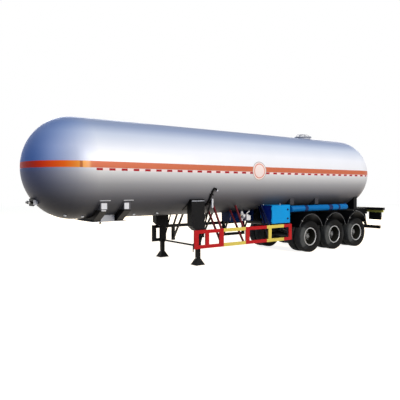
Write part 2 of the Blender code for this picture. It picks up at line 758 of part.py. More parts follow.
# Guard posts: columns are the front and rear of each, as shares of the guard's length behind its front.
GUARD_POSTS = {
    "left": [(0.0, 0.039), (0.099, 0.133), (0.227, 0.269), (0.486, 0.526), (0.730, 0.764), (0.965, 1.0)],
    "right": [(0.0, 0.039), (0.099, 0.133), (0.188, 0.220), (0.486, 0.526), (0.730, 0.764), (0.965, 1.0)],
}
# Hangers: columns are their middle as a share of the guard's length, and y of the inner strut at the
# vessel as a share of the vessel's radius.
GUARD_HANGERS = {
    "left": [(0.255, 0.3614), (0.471, 0.3614), (0.747, 0.498), (0.986, 0.498)],
    "right": [(0.204, 0.3614), (0.506, 0.3614), (0.747, 0.498), (0.982, 0.498)],
}


def guard_x(share):
    """Place along the guards, from a share of their length behind their front."""
    return GUARD_FRONT_X + (GUARD_REAR_X - GUARD_FRONT_X) * share


def hanger_outline(tank_y, foot_z):
    """Straight strut from inside the vessel's wall down to the inner face of the guard."""
    foot_y = GUARD_Y - GUARD_THICK + WELD
    wall_z = TANK_AXIS_Z - math.sqrt(TANK_RADIUS ** 2 - tank_y ** 2)
    run = foot_y - tank_y
    half = HANGER_DEPTH / 2 * math.hypot(run, wall_z - foot_z) / run
    head_z = wall_z + half
    return [(foot_y, foot_z - half), (foot_y, foot_z + half),
            (tank_y, head_z + half), (tank_y, head_z - half)]


def build_vent_pipe():
    """Vent pipe that follows the vessel's left flank beside the leg, then turns over to point down."""
    x = LEG_X + VENT_AHEAD
    reach = TANK_RADIUS + VENT_STAND
    turns = [math.radians(degrees) for degrees in VENT_DEGREES]
    points = [(x, reach * math.sin(turn), TANK_AXIS_Z - reach * math.cos(turn)) for turn in turns]
    top_y, top_z = points[-1][1:]
    points += [(x - VENT_RUN / 3, top_y + VENT_RISE / 2, top_z + VENT_RISE),
               (x - VENT_RUN, top_y + VENT_RISE / 2, top_z + VENT_RISE - VENT_DROP)]
    pipe = tube("vent_pipe", points, VENT_RADIUS)
    cut(pipe, [TANK_CLEARANCE])
    keep(pipe, BLACK)


def build_side_guards():
    """Ladder guards between the legs and the wheels, hung from the vessel on pairs of straight struts."""
    for side, label in ((1, "left"), (-1, "right")):
        posts = [(guard_x(ahead), guard_x(behind)) for ahead, behind in GUARD_POSTS[label]]
        ys = sorted((side * GUARD_Y, side * (GUARD_Y - GUARD_THICK)))
        wide = (ys[0] - WINDOW_OVERCUT, ys[1] + WINDOW_OVERCUT)
        guard = box(f"side_guard_{label}", (GUARD_FRONT_X, GUARD_REAR_X), ys, (GUARD_BOTTOM, GUARD_TOP))
        windows = []
        for number, (ahead, behind) in enumerate(zip(posts[:-1], posts[1:])):
            open_below = side < 0 and 1 <= number <= 3
            low = GUARD_BOTTOM - WINDOW_OVERCUT if open_below else GUARD_BOTTOM + GUARD_RAIL
            windows.append(box(f"guard_window_{label}_{number}", (behind[0], ahead[1]), wide,
                               (low, GUARD_TOP - GUARD_RAIL)))
        cut(guard, windows)
        struts = []
        for number, (share, inner) in enumerate(GUARD_HANGERS[label]):
            middle = guard_x(share)
            for place, tank_y, foot_z in (("outer", HANGER_OUTER_Y, GUARD_TOP - GUARD_RAIL / 2),
                                          ("inner", inner * TANK_RADIUS, GUARD_BOTTOM + GUARD_RAIL / 2)):
                outline = [(side * y, z) for y, z in hanger_outline(tank_y, foot_z)]
                struts.append(plate(f"guard_strut_{label}_{number}_{place}", outline, "yz",
                                    middle - HANGER_WIDTH / 2, middle + HANGER_WIDTH / 2))
        weld(guard, struts)
        cut(guard, [TANK_CLEARANCE])
        keep(guard, RED)


def spring_outline(x_middle, base_z):
    """Side view of a stepped leaf pack that lies on the axle and curves up to its ends."""
    upper, lower = [], []
    for k in range(-SPRING_STEPS, SPRING_STEPS + 1):
        share = k / SPRING_STEPS
        x = x_middle + share * SPRING_HALF_LENGTH
        sag = SPRING_SAG * share ** 2
        thick = SPRING_STACK - (SPRING_STACK - SPRING_TIP) * abs(share)
        upper.append((x, base_z + SPRING_STACK + sag))
        lower.append((x, base_z + SPRING_STACK + sag - thick))
    return lower + upper[::-1]


def brake_chamber(label, x, side):
    """Round chamber ahead of an axle, on an upright arm welded to the axle tube."""
    y = side * CHAMBER_Y
    z = AXLE_Z + CHAMBER_LIFT
    front = x + CHAMBER_AHEAD
    can = rod(f"brake_chamber_{label}", (front - WELD, y, z), (front + CHAMBER_LENGTH, y, z), CHAMBER_RADIUS)
    arm = box(f"chamber_arm_{label}", (front - CHAMBER_ARM_THICK, front),
              (y - CHAMBER_ARM_HALF, y + CHAMBER_ARM_HALF), (AXLE_Z, z + CHAMBER_ARM_HALF))
    return [can, arm]


def build_axles():
    """Axle tubes with spindles, brake chambers and the spring packs clamped on top."""
    for number, x in enumerate(AXLE_XS, 1):
        tube_half = HUB_INNER_Y - SEAT_GAP
        axle = rod(f"axle_{number}", (x, -tube_half, AXLE_Z), (x, tube_half, AXLE_Z), AXLE_TUBE / 2, 12)
        spindle_end = WHEEL_FACE_Y + 0.08
        spindle = rod(f"spindle_{number}", (x, -spindle_end, AXLE_Z), (x, spindle_end, AXLE_Z),
                      SPINDLE_RADIUS, 12)
        welded = [spindle]
        for side in (1, -1):
            ys = (side * (SPRING_Y - SPRING_WIDTH / 2), side * (SPRING_Y + SPRING_WIDTH / 2))
            seat_xs = (x - SPRING_SEAT_HALF, x + SPRING_SEAT_HALF)
            welded.append(box(f"spring_seat_{number}_{side}", seat_xs, ys, (AXLE_Z, SPRING_SEAT_Z + WELD)))
            welded.append(plate(f"spring_{number}_{side}", spring_outline(x, SPRING_SEAT_Z), "xz",
                                min(ys), max(ys)))
            welded += brake_chamber(f"{number}_{side}", x, side)
        weld(axle, welded)
        keep(axle, BLACK)


# Rear saddles: columns are their middle ahead of the first axle in axle spacings, and whether their ends
# are upright.
REAR_SADDLES = [(0.486, False), (-0.490, False), (-2.235, True)]


def rear_saddle(name, x, upright):
    """Web from the rails up to the vessel's flanks, as wide above as the front saddles."""
    half = SADDLE_WEB_WIDTH / 2
    foot = SADDLE_HALF_WIDTH if upright else RAIL_Y + RAIL_WIDTH / 2 - 0.01
    base = RAIL_TOP - WELD
    outline = [(-foot, base), (foot, base), (SADDLE_HALF_WIDTH, SADDLE_KNEE_Z),
               (SADDLE_HALF_WIDTH, SADDLE_TOP_Z), (-SADDLE_HALF_WIDTH, SADDLE_TOP_Z),
               (-SADDLE_HALF_WIDTH, SADDLE_KNEE_Z)]
    return plate(name, outline, "yz", x - half, x + half)


def air_tanks():
    """Two round air tanks across the trailer, hung from a shelf behind the front cross member."""
    front = SUBFRAME_FRONT_X - AIR_TANK_SETBACK
    shelf_z = RAIL_BOTTOM + CROSS_LIFT
    shelf = box("air_shelf", (front - AIR_TANK_SPACING - AIR_SHELF_THICK, SUBFRAME_FRONT_X - CROSS_SETBACK),
                (-AIR_SHELF_HALF, AIR_SHELF_HALF), (shelf_z, shelf_z + AIR_SHELF_THICK))
    z = shelf_z - AIR_TANK_RADIUS + WELD
    cans = [rod(f"air_tank_{number}", (x, -AIR_TANK_HALF, z), (x, AIR_TANK_HALF, z), AIR_TANK_RADIUS, 12)
            for number, x in enumerate((front, front - AIR_TANK_SPACING))]
    return [shelf] + cans


def build_subframe():
    """Two rails with their cross members, the spring hangers below and the rear saddles above."""
    rail_rear = REAR_X + REAR_BEAM_DEPTH + SEAT_GAP
    half = RAIL_WIDTH / 2
    frame = box("subframe", (rail_rear, SUBFRAME_FRONT_X), (RAIL_Y - half, RAIL_Y + half),
                (RAIL_BOTTOM, RAIL_TOP))
    shapes = [box("rail_right", (rail_rear, SUBFRAME_FRONT_X), (-RAIL_Y - half, -RAIL_Y + half),
                  (RAIL_BOTTOM, RAIL_TOP))]
    hanger_xs = [AXLE_1_X + AXLE_SPACING * (0.5 - number) for number in range(AXLE_COUNT + 1)]
    cross_xs = [SUBFRAME_FRONT_X - CROSS_SETBACK] + hanger_xs + [rail_rear + CROSS_REAR]
    for number, x in enumerate(cross_xs):
        cross_zs = (RAIL_BOTTOM + CROSS_LIFT, RAIL_BOTTOM + CROSS_LIFT + CROSS_HEIGHT)
        shapes.append(box(f"cross_member_{number}", (x - CROSS_WIDTH / 2, x + CROSS_WIDTH / 2),
                          (-RAIL_Y, RAIL_Y), cross_zs))
    cheek = SPRING_WIDTH / 2 + HANGER_CHEEK
    for side in (1, -1):
        for number, x in enumerate(hanger_xs):
            seat = SPRING_END_Z + SEAT_GAP
            wide = AXLE_SPACING * 0.138
            narrow = AXLE_SPACING * 0.090
            outline = [(x - wide, seat), (x + wide, seat), (x + narrow, RAIL_BOTTOM + WELD),
                       (x - narrow, RAIL_BOTTOM + WELD)]
            ys = sorted((side * (SPRING_Y - cheek), side * (SPRING_Y + cheek)))
            shapes.append(plate(f"spring_hanger_{side}_{number}", outline, "xz", *ys))
        rest_xs = (SUBFRAME_FRONT_X - REST_SETBACK - REST_LENGTH, SUBFRAME_FRONT_X - REST_SETBACK)
        shapes.append(box(f"front_rest_{side}", rest_xs,
                          (side * (RAIL_Y - REST_HALF_WIDTH), side * (RAIL_Y + REST_HALF_WIDTH)),
                          (RAIL_TOP - WELD, RAIL_TOP + REST_HEIGHT)))
    for number, (spacings, upright) in enumerate(REAR_SADDLES, 1):
        shapes.append(rear_saddle(f"rear_saddle_{number}", AXLE_1_X + AXLE_SPACING * spacings, upright))
    weld(frame, shapes + air_tanks())
    cut(frame, [TANK_CLEARANCE])
    keep(frame, BLACK)


def wheel_turn(side):
    """Euler turn that lays a turned shape's axis outwards along Y, with a flat side underneath."""
    return (-side * math.pi / 2, math.pi / WHEEL_SIDES, 0.0)


def polygon_radius(radius):
    """Corner radius of the wheel polygon whose flats touch the circle."""
    return radius / math.cos(math.pi / WHEEL_SIDES)


def tyre_profile():
    """Section of a radial tyre about its own middle: tread, shoulders, bulged walls and beads."""
    half = TYRE_WIDTH / 2
    seat = RIM_FLANGE_RADIUS + SEAT_GAP
    bulge = seat + (TYRE_RADIUS - seat) * 0.46
    shoulder = TYRE_RADIUS - 0.026
    points = [(TYRE_RADIUS, half * 0.68), (TYRE_RADIUS, -half * 0.68), (shoulder, -half * 0.93),
              (bulge, -half), (seat, -half * 0.76), (seat, half * 0.76), (bulge, half),
              (shoulder, half * 0.93), (TYRE_RADIUS, half * 0.68)]
    return [(polygon_radius(radius), height) for radius, height in points]


def wheel_profile():
    """Section of twin rims on one hub, from the hub cap outwards, back along the inside to the bore."""
    lip = RIM_FLANGE_RADIUS
    dish = RIM_DISH_RADIUS
    out = OUTER_TYRE_Y + TYRE_WIDTH * 0.38
    inn = INNER_TYRE_Y - TYRE_WIDTH * 0.38
    face = WHEEL_FACE_Y
    cap = face + HUB_CAP_AHEAD
    points = [(0.0, cap), (HUB_CAP_RADIUS, cap), (HUB_RADIUS, face + 0.09), (HUB_RADIUS, face + 0.03),
              (dish - 0.032, face + 0.03), (dish, face + 0.09), (lip - RIM_FLANGE_WIDTH, out + 0.014),
              (lip, out), (lip, inn), (DRUM_RADIUS, face - 0.05),
              (DRUM_RADIUS, HUB_INNER_Y + 0.03), (BORE_RADIUS + 0.030, HUB_INNER_Y),
              (BORE_RADIUS, HUB_INNER_Y), (BORE_RADIUS, face + 0.085), (0.0, face + 0.085)]
    return [(polygon_radius(radius), height) for radius, height in points]


def build_wheels():
    """Six sets of twin wheels: one hub with both rims, and two tyres on it."""
    for number, x in enumerate(AXLE_XS, 1):
        for side, label in ((1, "left"), (-1, "right")):
            hub = bpy.data.objects.new(f"wheel_axis_{number}_{label}", None)
            PARTS.objects.link(hub)
            hub.location = (x, 0.0, AXLE_Z)
            wheel = turned(f"wheel_{number}_{label}", wheel_profile(), WHEEL_SIDES)
            wheel.rotation_euler = wheel_turn(side)
            wheel.parent = hub
            keep(wheel, RIM_PAINT)
            for place, y in (("outer", OUTER_TYRE_Y), ("inner", INNER_TYRE_Y)):
                tyre = turned(f"tyre_{number}_{label}_{place}", tyre_profile(), WHEEL_SIDES)
                tyre.rotation_euler = wheel_turn(side)
                tyre.location = (0.0, side * y, 0.0)
                tyre.parent = hub
                keep(tyre, RUBBER)


def swept_guard(name, x, section):
    """Section of (radius, y) points carried over an axle in a half circle, with both ends closed."""
    bm = bmesh.new()
    rings = []
    for k in range(MUDGUARD_STEPS + 1):
        turn = math.radians(MUDGUARD_END_DEG + (180.0 - 2 * MUDGUARD_END_DEG) * k / MUDGUARD_STEPS)
        rings.append([bm.verts.new((x + radius * math.cos(turn), y, MUDGUARD_Z + radius * math.sin(turn)))
                      for radius, y in section])
    for ahead, behind in zip(rings[:-1], rings[1:]):
        for i in range(len(section)):
            j = (i + 1) % len(section)
            bm.faces.new((ahead[i], ahead[j], behind[j], behind[i]))
    bm.faces.new(rings[0])
    bm.faces.new(rings[-1][::-1])
    bmesh.ops.recalc_face_normals(bm, faces=bm.faces)
    return mesh_object(name, bm)


def build_mudguards():
    """Half-round guards over each wheel pair, on a carrier bar with an outrigger at each axle."""
    inside = MUDGUARD_RADIUS - MUDGUARD_SHEET
    lip = MUDGUARD_RADIUS - MUDGUARD_LIP
    for side, label in ((1, "left"), (-1, "right")):
        section = [(MUDGUARD_RADIUS, side * MUDGUARD_IN), (MUDGUARD_RADIUS, side * MUDGUARD_OUT),
                   (lip, side * MUDGUARD_OUT), (lip, side * (MUDGUARD_OUT - MUDGUARD_SHEET)),
                   (inside, side * (MUDGUARD_OUT - MUDGUARD_SHEET)), (inside, side * MUDGUARD_IN)]
        bar_ys = (side * (MUDGUARD_IN + 0.004), side * (MUDGUARD_IN + 0.054))
        guards = box(f"mudguards_{label}", (AXLE_XS[-1] - 0.20, AXLE_XS[0] + 0.20), bar_ys,
                     (MUDGUARD_TOP - 0.004, MUDGUARD_TOP + 0.026))
        shapes = []
        for number, x in enumerate(AXLE_XS, 1):
            shapes.append(swept_guard(f"mudguard_{label}_{number}", x, section))
            arm_ys = (side * (RAIL_Y + RAIL_WIDTH / 2 + SEAT_GAP), side * (MUDGUARD_IN + 0.030))
            shapes.append(box(f"mudguard_arm_{label}_{number}", (x - 0.04, x + 0.04), arm_ys,
                              (MUDGUARD_TOP + 0.002, MUDGUARD_TOP + 0.020)))
        weld(guards, shapes)
        keep(guards, BLACK)


CABINET_REAR_X = guard_x(GUARD_HANGERS["left"][3][0]) + HANGER_WIDTH / 2 + CABINET_AHEAD_OF_HANGER
CABINET_FRONT_X = guard_x(GUARD_HANGERS["left"][2][0]) - HANGER_WIDTH / 2 - CABINET_BEHIND_HANGER


def build_hose_tube():
    """Round carrier for the transfer hose, closed at its front, with a hinged lid behind."""
    front = CABINET_REAR_X - TUBE_BEHIND_CABINET
    rear = front - TUBE_LENGTH
    profile = [(0.0, front), (TUBE_RADIUS, front), (TUBE_RADIUS, rear), (TUBE_RADIUS - TUBE_WALL, rear),
               (TUBE_RADIUS - TUBE_WALL, front - TUBE_WALL), (0.0, front - TUBE_WALL)]
    body = turned("hose_tube", profile, TUBE_SIDES)
    body.rotation_euler = (0.0, math.pi / 2, 0.0)
    body.location = (0.0, TUBE_Y, TUBE_Z)
    shapes = []
    half = TUBE_ARM_WIDTH / 2
    for number, share in enumerate(TUBE_ARMS, 1):
        x = front - TUBE_LENGTH * share
        shapes.append(box(f"tube_arm_{number}", (x - half, x + half), (RAIL_Y, TUBE_Y),
                          (RAIL_TOP + SEAT_GAP, TUBE_Z - TUBE_RADIUS * 0.88)))
    hinge_x = rear - DOOR_GAP - LID_THICK / 2
    hinge_z = TUBE_Z + TUBE_RADIUS + HINGE_RADIUS + LID_HINGE_GAP
    lug_half = HINGE_LENGTH / 2 + SEAT_GAP
    for side in (1, -1):
        ys = (TUBE_Y + side * lug_half, TUBE_Y + side * (lug_half + LUG_THICK))
        shapes.append(box(f"tube_lug_{side}", (hinge_x - HINGE_RADIUS, rear + TUBE_LUG_LAP), ys,
                          (hinge_z - TUBE_LUG_DROP, hinge_z + HINGE_RADIUS)))
    base_half = lug_half + LUG_THICK * 0.8
    shapes.append(box("tube_hinge_base", (rear + WELD, rear + TUBE_LUG_LAP - WELD / 2),
                      (TUBE_Y - base_half, TUBE_Y + base_half),
                      (TUBE_Z + TUBE_RADIUS * 0.8, hinge_z - LID_HINGE_GAP)))
    weld(body, shapes)
    bore = rod("hose_bore", (rear - 0.1, TUBE_Y, TUBE_Z), (front - TUBE_WALL, TUBE_Y, TUBE_Z),
               TUBE_RADIUS - TUBE_WALL, TUBE_SIDES)
    cut(body, [bore])
    keep(body, BLUE)

    lid_parent = bpy.data.objects.new("hose_lid_axis", None)
    PARTS.objects.link(lid_parent)
    lid_parent.location = (hinge_x, TUBE_Y, hinge_z)
    lid_xs = (rear - DOOR_GAP, rear - DOOR_GAP - LID_THICK)
    lid = rod("hose_tube_lid", (lid_xs[0], TUBE_Y, TUBE_Z), (lid_xs[1], TUBE_Y, TUBE_Z), TUBE_RADIUS,
              TUBE_SIDES)
    barrel = rod("hose_lid_barrel", (hinge_x, TUBE_Y - HINGE_LENGTH / 2, hinge_z),
                 (hinge_x, TUBE_Y + HINGE_LENGTH / 2, hinge_z), HINGE_RADIUS)
    strap = box("hose_lid_strap", (hinge_x - LID_THICK / 2, hinge_x + LID_THICK / 2),
                (TUBE_Y - HINGE_LENGTH / 2 + LEAF_HALF, TUBE_Y + HINGE_LENGTH / 2 - LEAF_HALF),
                (hinge_z - LID_STRAP_DROP, hinge_z))
    weld(lid, [barrel, strap])
    place_on_axis(lid, lid_parent)
    keep(lid, BLUE)


def place_on_axis(obj, axis):
    """Hang a moving piece on its axis empty, with its place in the world kept."""
    bpy.context.view_layer.update()
    world = obj.matrix_world.copy()
    obj.parent = axis
    obj.matrix_parent_inverse = axis.matrix_world.inverted()
    obj.matrix_world = world


def build_cabinet():
    """Steel tool cabinet with a door on its outer side, hinged at the front."""
    rear, front = CABINET_REAR_X, CABINET_FRONT_X
    body = box("tool_cabinet", (rear, front), (CABINET_IN, CABINET_OUT), (CABINET_BOTTOM, CABINET_TOP))
    room = box("cabinet_room", (rear + CABINET_WALL, front - CABINET_WALL),
               (CABINET_IN + CABINET_WALL, CABINET_OUT + WINDOW_OVERCUT),
               (CABINET_BOTTOM + CABINET_WALL, CABINET_TOP - CABINET_WALL))
    cut(body, [room])
    shapes = []
    arm_low = RAIL_BOTTOM + CABINET_ARM_LIFT
    for number, x in enumerate((rear + CABINET_ARM_INSET, front - CABINET_ARM_INSET)):
        arm_ys = (RAIL_Y + RAIL_WIDTH / 2 + SEAT_GAP, CABINET_IN + WELD)
        arm_xs = (x - CABINET_ARM_WIDTH / 2, x + CABINET_ARM_WIDTH / 2)
        shapes.append(box(f"cabinet_arm_{number}", arm_xs, arm_ys, (arm_low, arm_low + CABINET_ARM_HEIGHT)))
    hinge_x = front + HINGE_RADIUS + HINGE_AHEAD
    hinge_y = CABINET_OUT + DOOR_GAP + DOOR_THICK / 2
    hinge_inset = CABINET_HEIGHT * HINGE_SHARE
    hinge_zs = (CABINET_BOTTOM + hinge_inset, CABINET_TOP - hinge_inset)
    lug_half = HINGE_LENGTH / 2 + SEAT_GAP
    for number, z in enumerate(hinge_zs):
        for end in (1, -1):
            zs = (z + end * lug_half, z + end * (lug_half + LUG_THICK))
            shapes.append(box(f"cabinet_lug_{number}_{end}", (front - WELD, hinge_x + HINGE_RADIUS),
                              (CABINET_OUT - LUG_DEPTH, CABINET_OUT - LUG_BEHIND_FACE), zs))
            tip_xs = (hinge_x - HINGE_RADIUS, hinge_x + HINGE_RADIUS)
            shapes.append(box(f"cabinet_lug_tip_{number}_{end}", tip_xs,
                              (CABINET_OUT - LUG_DEPTH, hinge_y + HINGE_RADIUS), zs))
    weld(body, shapes)
    keep(body, BLUE)

    axis = bpy.data.objects.new("cabinet_door_axis", None)
    PARTS.objects.link(axis)
    axis.location = (hinge_x, hinge_y, (CABINET_BOTTOM + CABINET_TOP) / 2)
    door_ys = (CABINET_OUT + DOOR_GAP, CABINET_OUT + DOOR_GAP + DOOR_THICK)
    door = box("tool_cabinet_door", (rear + DOOR_REAR_GAP, front - DOOR_FRONT_GAP), door_ys,
               (CABINET_BOTTOM + DOOR_EDGE_GAP, CABINET_TOP - DOOR_EDGE_GAP))
    leaves = []
    for number, z in enumerate(hinge_zs):
        zs = (z - HINGE_LENGTH / 2, z + HINGE_LENGTH / 2)
        leaves.append(rod(f"door_barrel_{number}", (hinge_x, hinge_y, zs[0]), (hinge_x, hinge_y, zs[1]),
                          HINGE_RADIUS))
        leaves.append(box(f"door_leaf_{number}", (front - LEAF_LAP, hinge_x),
                          (hinge_y - LEAF_HALF, hinge_y + LEAF_HALF), (zs[0] + LEAF_HALF, zs[1] - LEAF_HALF)))
    weld(door, leaves)
    place_on_axis(door, axis)
    keep(door, BLUE)


def build_valve_box():
    """Open-sided box under the vessel that shelters the liquid valve and the flow meter."""
    rear = SUBFRAME_FRONT_X + VALVE_BOX_AHEAD
    front = rear + VALVE_BOX_LENGTH
    wall = VALVE_BOX_WALL
    high = roofline(VALVE_BOX_OUT)
    body = box("valve_box", (rear, front), (VALVE_BOX_IN, VALVE_BOX_OUT), (VALVE_BOX_BOTTOM, high))
    room = box("valve_room", (rear + wall, front - wall), (VALVE_BOX_IN + wall, VALVE_BOX_OUT + WINDOW_OVERCUT),
               (VALVE_BOX_BOTTOM + wall, high + WINDOW_OVERCUT))
    cut(body, [room, TANK_CLEARANCE])
    keep(body, BLUE)

    floor = VALVE_BOX_BOTTOM + wall + SEAT_GAP
    x = front - VALVE_BOX_LENGTH * VALVE_SHARE
    roof = roofline(VALVE_Y)
    valve = rod("liquid_valve", (x, VALVE_Y, floor), (x, VALVE_Y, roof), VALVE_RADIUS)
    middle = (floor + TANK_BOTTOM_Z) / 2 + VALVE_LIFT
    flange_zs = (middle - VALVE_FLANGE_SPREAD - VALVE_FLANGE_THICK, middle + VALVE_FLANGE_SPREAD)
    flanges = [rod(f"valve_flange_{number}", (x, VALVE_Y, z), (x, VALVE_Y, z + VALVE_FLANGE_THICK),
                   VALVE_FLANGE_RADIUS, 10) for number, z in enumerate(flange_zs)]
    outlet = rod("valve_outlet", (x, VALVE_Y, middle), (x, VALVE_Y + OUTLET_REACH, middle), OUTLET_RADIUS)
    weld(valve, flanges + [outlet])
    cut(valve, [TANK_CLEARANCE])
    keep(valve, STEEL)

    x = front - VALVE_BOX_LENGTH * METER_SHARE
    half = METER_WIDTH / 2
    top = floor + METER_HEIGHT
    meter = box("flow_meter", (x - half, x + half), (METER_Y - half, METER_Y + half), (floor, top))
    head = rod("meter_head", (x, METER_Y, top - WELD), (x, METER_Y, top + METER_HEAD_HEIGHT),
               METER_HEAD_RADIUS, 16)
    pipe = rod("meter_pipe", (x, METER_Y, top + METER_HEAD_HEIGHT / 2),
               (x - METER_PIPE_RUN, METER_Y, roofline(METER_Y) + ROOF_ENTRY), METER_PIPE_RADIUS)
    weld(meter, [head, pipe])
    cut(meter, [TANK_CLEARANCE])
    keep(meter, STEEL)


def roofline(y):
    """Height just inside the vessel's wall above a place beside the centre line."""
    return TANK_AXIS_Z - math.sqrt(TANK_RADIUS ** 2 - y ** 2) + ROOF_ENTRY


def build_manhole():
    """Manhole neck and cover on top of the vessel, with two safety valves under a guard hoop."""
    x = AXLE_1_X - MANHOLE_BEHIND_AXLE
    crown = TANK_AXIS_Z + TANK_RADIUS
    top = crown + MANHOLE_RISE
    hoop_z = crown + HOOP_RISE - HOOP_BAR
    neck = rod("manhole", (x, 0.0, crown - 0.08), (x, 0.0, top - 0.02), MANHOLE_RADIUS - 0.05, 16)
    cover = rod("manhole_cover", (x, 0.0, top - MANHOLE_FLANGE), (x, 0.0, top), MANHOLE_RADIUS, 16)
    valves = [rod(f"safety_valve_{side}", (x + side * SAFETY_VALVE_OFFSET, 0.0, top - WELD),
                  (x + side * SAFETY_VALVE_OFFSET, 0.0, top + SAFETY_VALVE_HEIGHT), SAFETY_VALVE_RADIUS)
              for side in (1, -1)]
    spread = MANHOLE_RADIUS * 0.90
    bend = spread * 0.72
    flat = spread * 0.45
    shoulder_z = hoop_z - HOOP_BAR
    hoop = tube("manhole_hoop", [(x + spread, 0.0, top - WELD), (x + bend, 0.0, shoulder_z),
                                 (x + flat, 0.0, hoop_z), (x - flat, 0.0, hoop_z),
                                 (x - bend, 0.0, shoulder_z), (x - spread, 0.0, top - WELD)], HOOP_BAR)
    weld(neck, [cover, hoop] + valves)
    cut(neck, [TANK_CLEARANCE])
    keep(neck, SILVER)


def build_rear_end():
    """Rear cross beam with its signal board, two lamp panels and the underrun guard."""
    front = REAR_X + REAR_BEAM_DEPTH
    beam = box("rear_beam", (REAR_X, front), (-REAR_BEAM_HALF, REAR_BEAM_HALF),
               (REAR_BEAM_BOTTOM, REAR_BEAM_TOP))
    board_x = (REAR_X + BOARD_SETBACK, REAR_X + BOARD_SETBACK + SIGNAL_BOARD_THICK)
    board_half = REAR_BEAM_HALF - BOARD_INSET
    board = box("signal_board", board_x, (-board_half, board_half),
                (SIGNAL_BOARD_BOTTOM, REAR_BEAM_BOTTOM + WELD))
    weld(beam, [board])
    keep(beam, BLACK)
    panel_top = SIGNAL_BOARD_BOTTOM - SEAT_GAP
    panel_rear = REAR_X + LAMP_PANEL_SETBACK
    for side, label in ((1, "left"), (-1, "right")):
        panel = box(f"lamp_panel_{label}", (panel_rear, panel_rear + LAMP_PANEL_DEPTH),
                    (side * LAMP_PANEL_IN, side * LAMP_PANEL_OUT), (panel_top - LAMP_PANEL_HEIGHT, panel_top))
        keep(panel, BLACK)
    guard_rear = REAR_X + UNDERRUN_SETBACK
    guard = box("underrun_guard", (guard_rear, guard_rear + UNDERRUN_DEPTH), (-UNDERRUN_HALF, UNDERRUN_HALF),
                (UNDERRUN_BOTTOM, UNDERRUN_TOP))
    hanger_rear = REAR_X + UNDERRUN_HANGER_SETBACK
    hanger_low = UNDERRUN_TOP - UNDERRUN_HANGER_LAP
    head_rear = front + UNDERRUN_HANGER_RUN
    hangers = []
    for side in (1, -1):
        outline = [(hanger_rear, hanger_low), (hanger_rear + UNDERRUN_HANGER_WIDTH, hanger_low),
                   (head_rear + UNDERRUN_HANGER_REACH, RAIL_BOTTOM - SEAT_GAP),
                   (head_rear, RAIL_BOTTOM - SEAT_GAP)]
        ys = (side * RAIL_Y - UNDERRUN_HANGER_WIDTH / 2, side * RAIL_Y + UNDERRUN_HANGER_WIDTH / 2)
        hangers.append(plate(f"underrun_hanger_{side}", outline, "xz", *ys))
    weld(guard, hangers)
    keep(guard, BLACK)


def main():
    """Build the trailer, front to rear."""
    build_tank()
    build_coupler_frame()
    build_kingpin()
    build_front_saddles()
    build_hitch_panel()
    build_landing_gear()
    build_vent_pipe()
    build_side_guards()
    build_axles()
    build_subframe()
    build_wheels()
    build_mudguards()
    build_hose_tube()
    build_cabinet()
    build_valve_box()
    build_manhole()
    build_rear_end()


main()
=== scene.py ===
"""Looks of the parked gas tanker semi-trailer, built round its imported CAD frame.

Metres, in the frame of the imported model: +X is forward, +Y is the trailer's left and +Z is up, with the
ground at z = 0. Rigid boxes, beams and brackets keep their CAD meshes and get a painted finish. The vessel,
tyres, rims, mudguards, hose tube, valves and manhole are replaced by smooth, detailed pieces.
"""

import logging
import math
from dataclasses import dataclass
from enum import Enum
from typing import Any, Sequence

import bmesh
import bpy
import numpy as np
from mathutils import Matrix, Vector

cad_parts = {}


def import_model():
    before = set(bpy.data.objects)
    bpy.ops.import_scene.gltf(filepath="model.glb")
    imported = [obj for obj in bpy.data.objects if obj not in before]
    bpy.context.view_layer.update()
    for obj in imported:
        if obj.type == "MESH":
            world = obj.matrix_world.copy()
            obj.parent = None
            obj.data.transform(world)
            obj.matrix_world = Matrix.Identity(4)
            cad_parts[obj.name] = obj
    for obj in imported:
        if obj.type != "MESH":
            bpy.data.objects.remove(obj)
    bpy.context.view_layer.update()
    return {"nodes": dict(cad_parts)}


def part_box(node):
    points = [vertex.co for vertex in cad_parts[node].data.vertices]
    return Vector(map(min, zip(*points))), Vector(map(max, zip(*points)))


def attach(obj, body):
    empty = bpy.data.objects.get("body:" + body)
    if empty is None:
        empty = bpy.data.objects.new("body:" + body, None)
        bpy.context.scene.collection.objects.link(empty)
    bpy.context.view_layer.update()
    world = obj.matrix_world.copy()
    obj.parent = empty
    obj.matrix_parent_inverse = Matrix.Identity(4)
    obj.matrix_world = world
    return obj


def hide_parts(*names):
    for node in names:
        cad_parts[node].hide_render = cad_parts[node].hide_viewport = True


log = logging.getLogger("tanker_trailer")

TRAILER = "trailer"
TAU = 2.0 * math.pi

Tree = bpy.types.NodeTree
Socket = bpy.types.NodeSocket
Node = bpy.types.Node


class Side(Enum):
    """Left or right of the trailer, with the sign of y there."""

    LEFT = 1
    RIGHT = -1

    @property
    def label(self) -> str:
        """The side's word in node names."""
        return self.name.lower()


class Axis(Enum):
    """Direction that a turned shape's axis lies in."""

    X = 0
    Y = 1
    Z = 2


class Kind(Enum):
    """Shader nodes that the finishes and the studio are made of."""

    PLACE = "ShaderNodeTexCoord"
    SPLIT = "ShaderNodeSeparateXYZ"
    NOISE = "ShaderNodeTexNoise"
    RANGE = "ShaderNodeMapRange"
    RAMP = "ShaderNodeValToRGB"
    MIX = "ShaderNodeMix"
    MATH = "ShaderNodeMath"
    BUMP = "ShaderNodeBump"
    SURFACE = "ShaderNodeBsdfPrincipled"
    OUTPUT = "ShaderNodeOutputMaterial"
    RAYS = "ShaderNodeLightPath"
    DIFFUSE = "ShaderNodeBsdfDiffuse"
    GLOW = "ShaderNodeEmission"
    SUM = "ShaderNodeAddShader"
    CHOICE = "ShaderNodeMixShader"
    BACKGROUND = "ShaderNodeBackground"
    WORLD = "ShaderNodeOutputWorld"


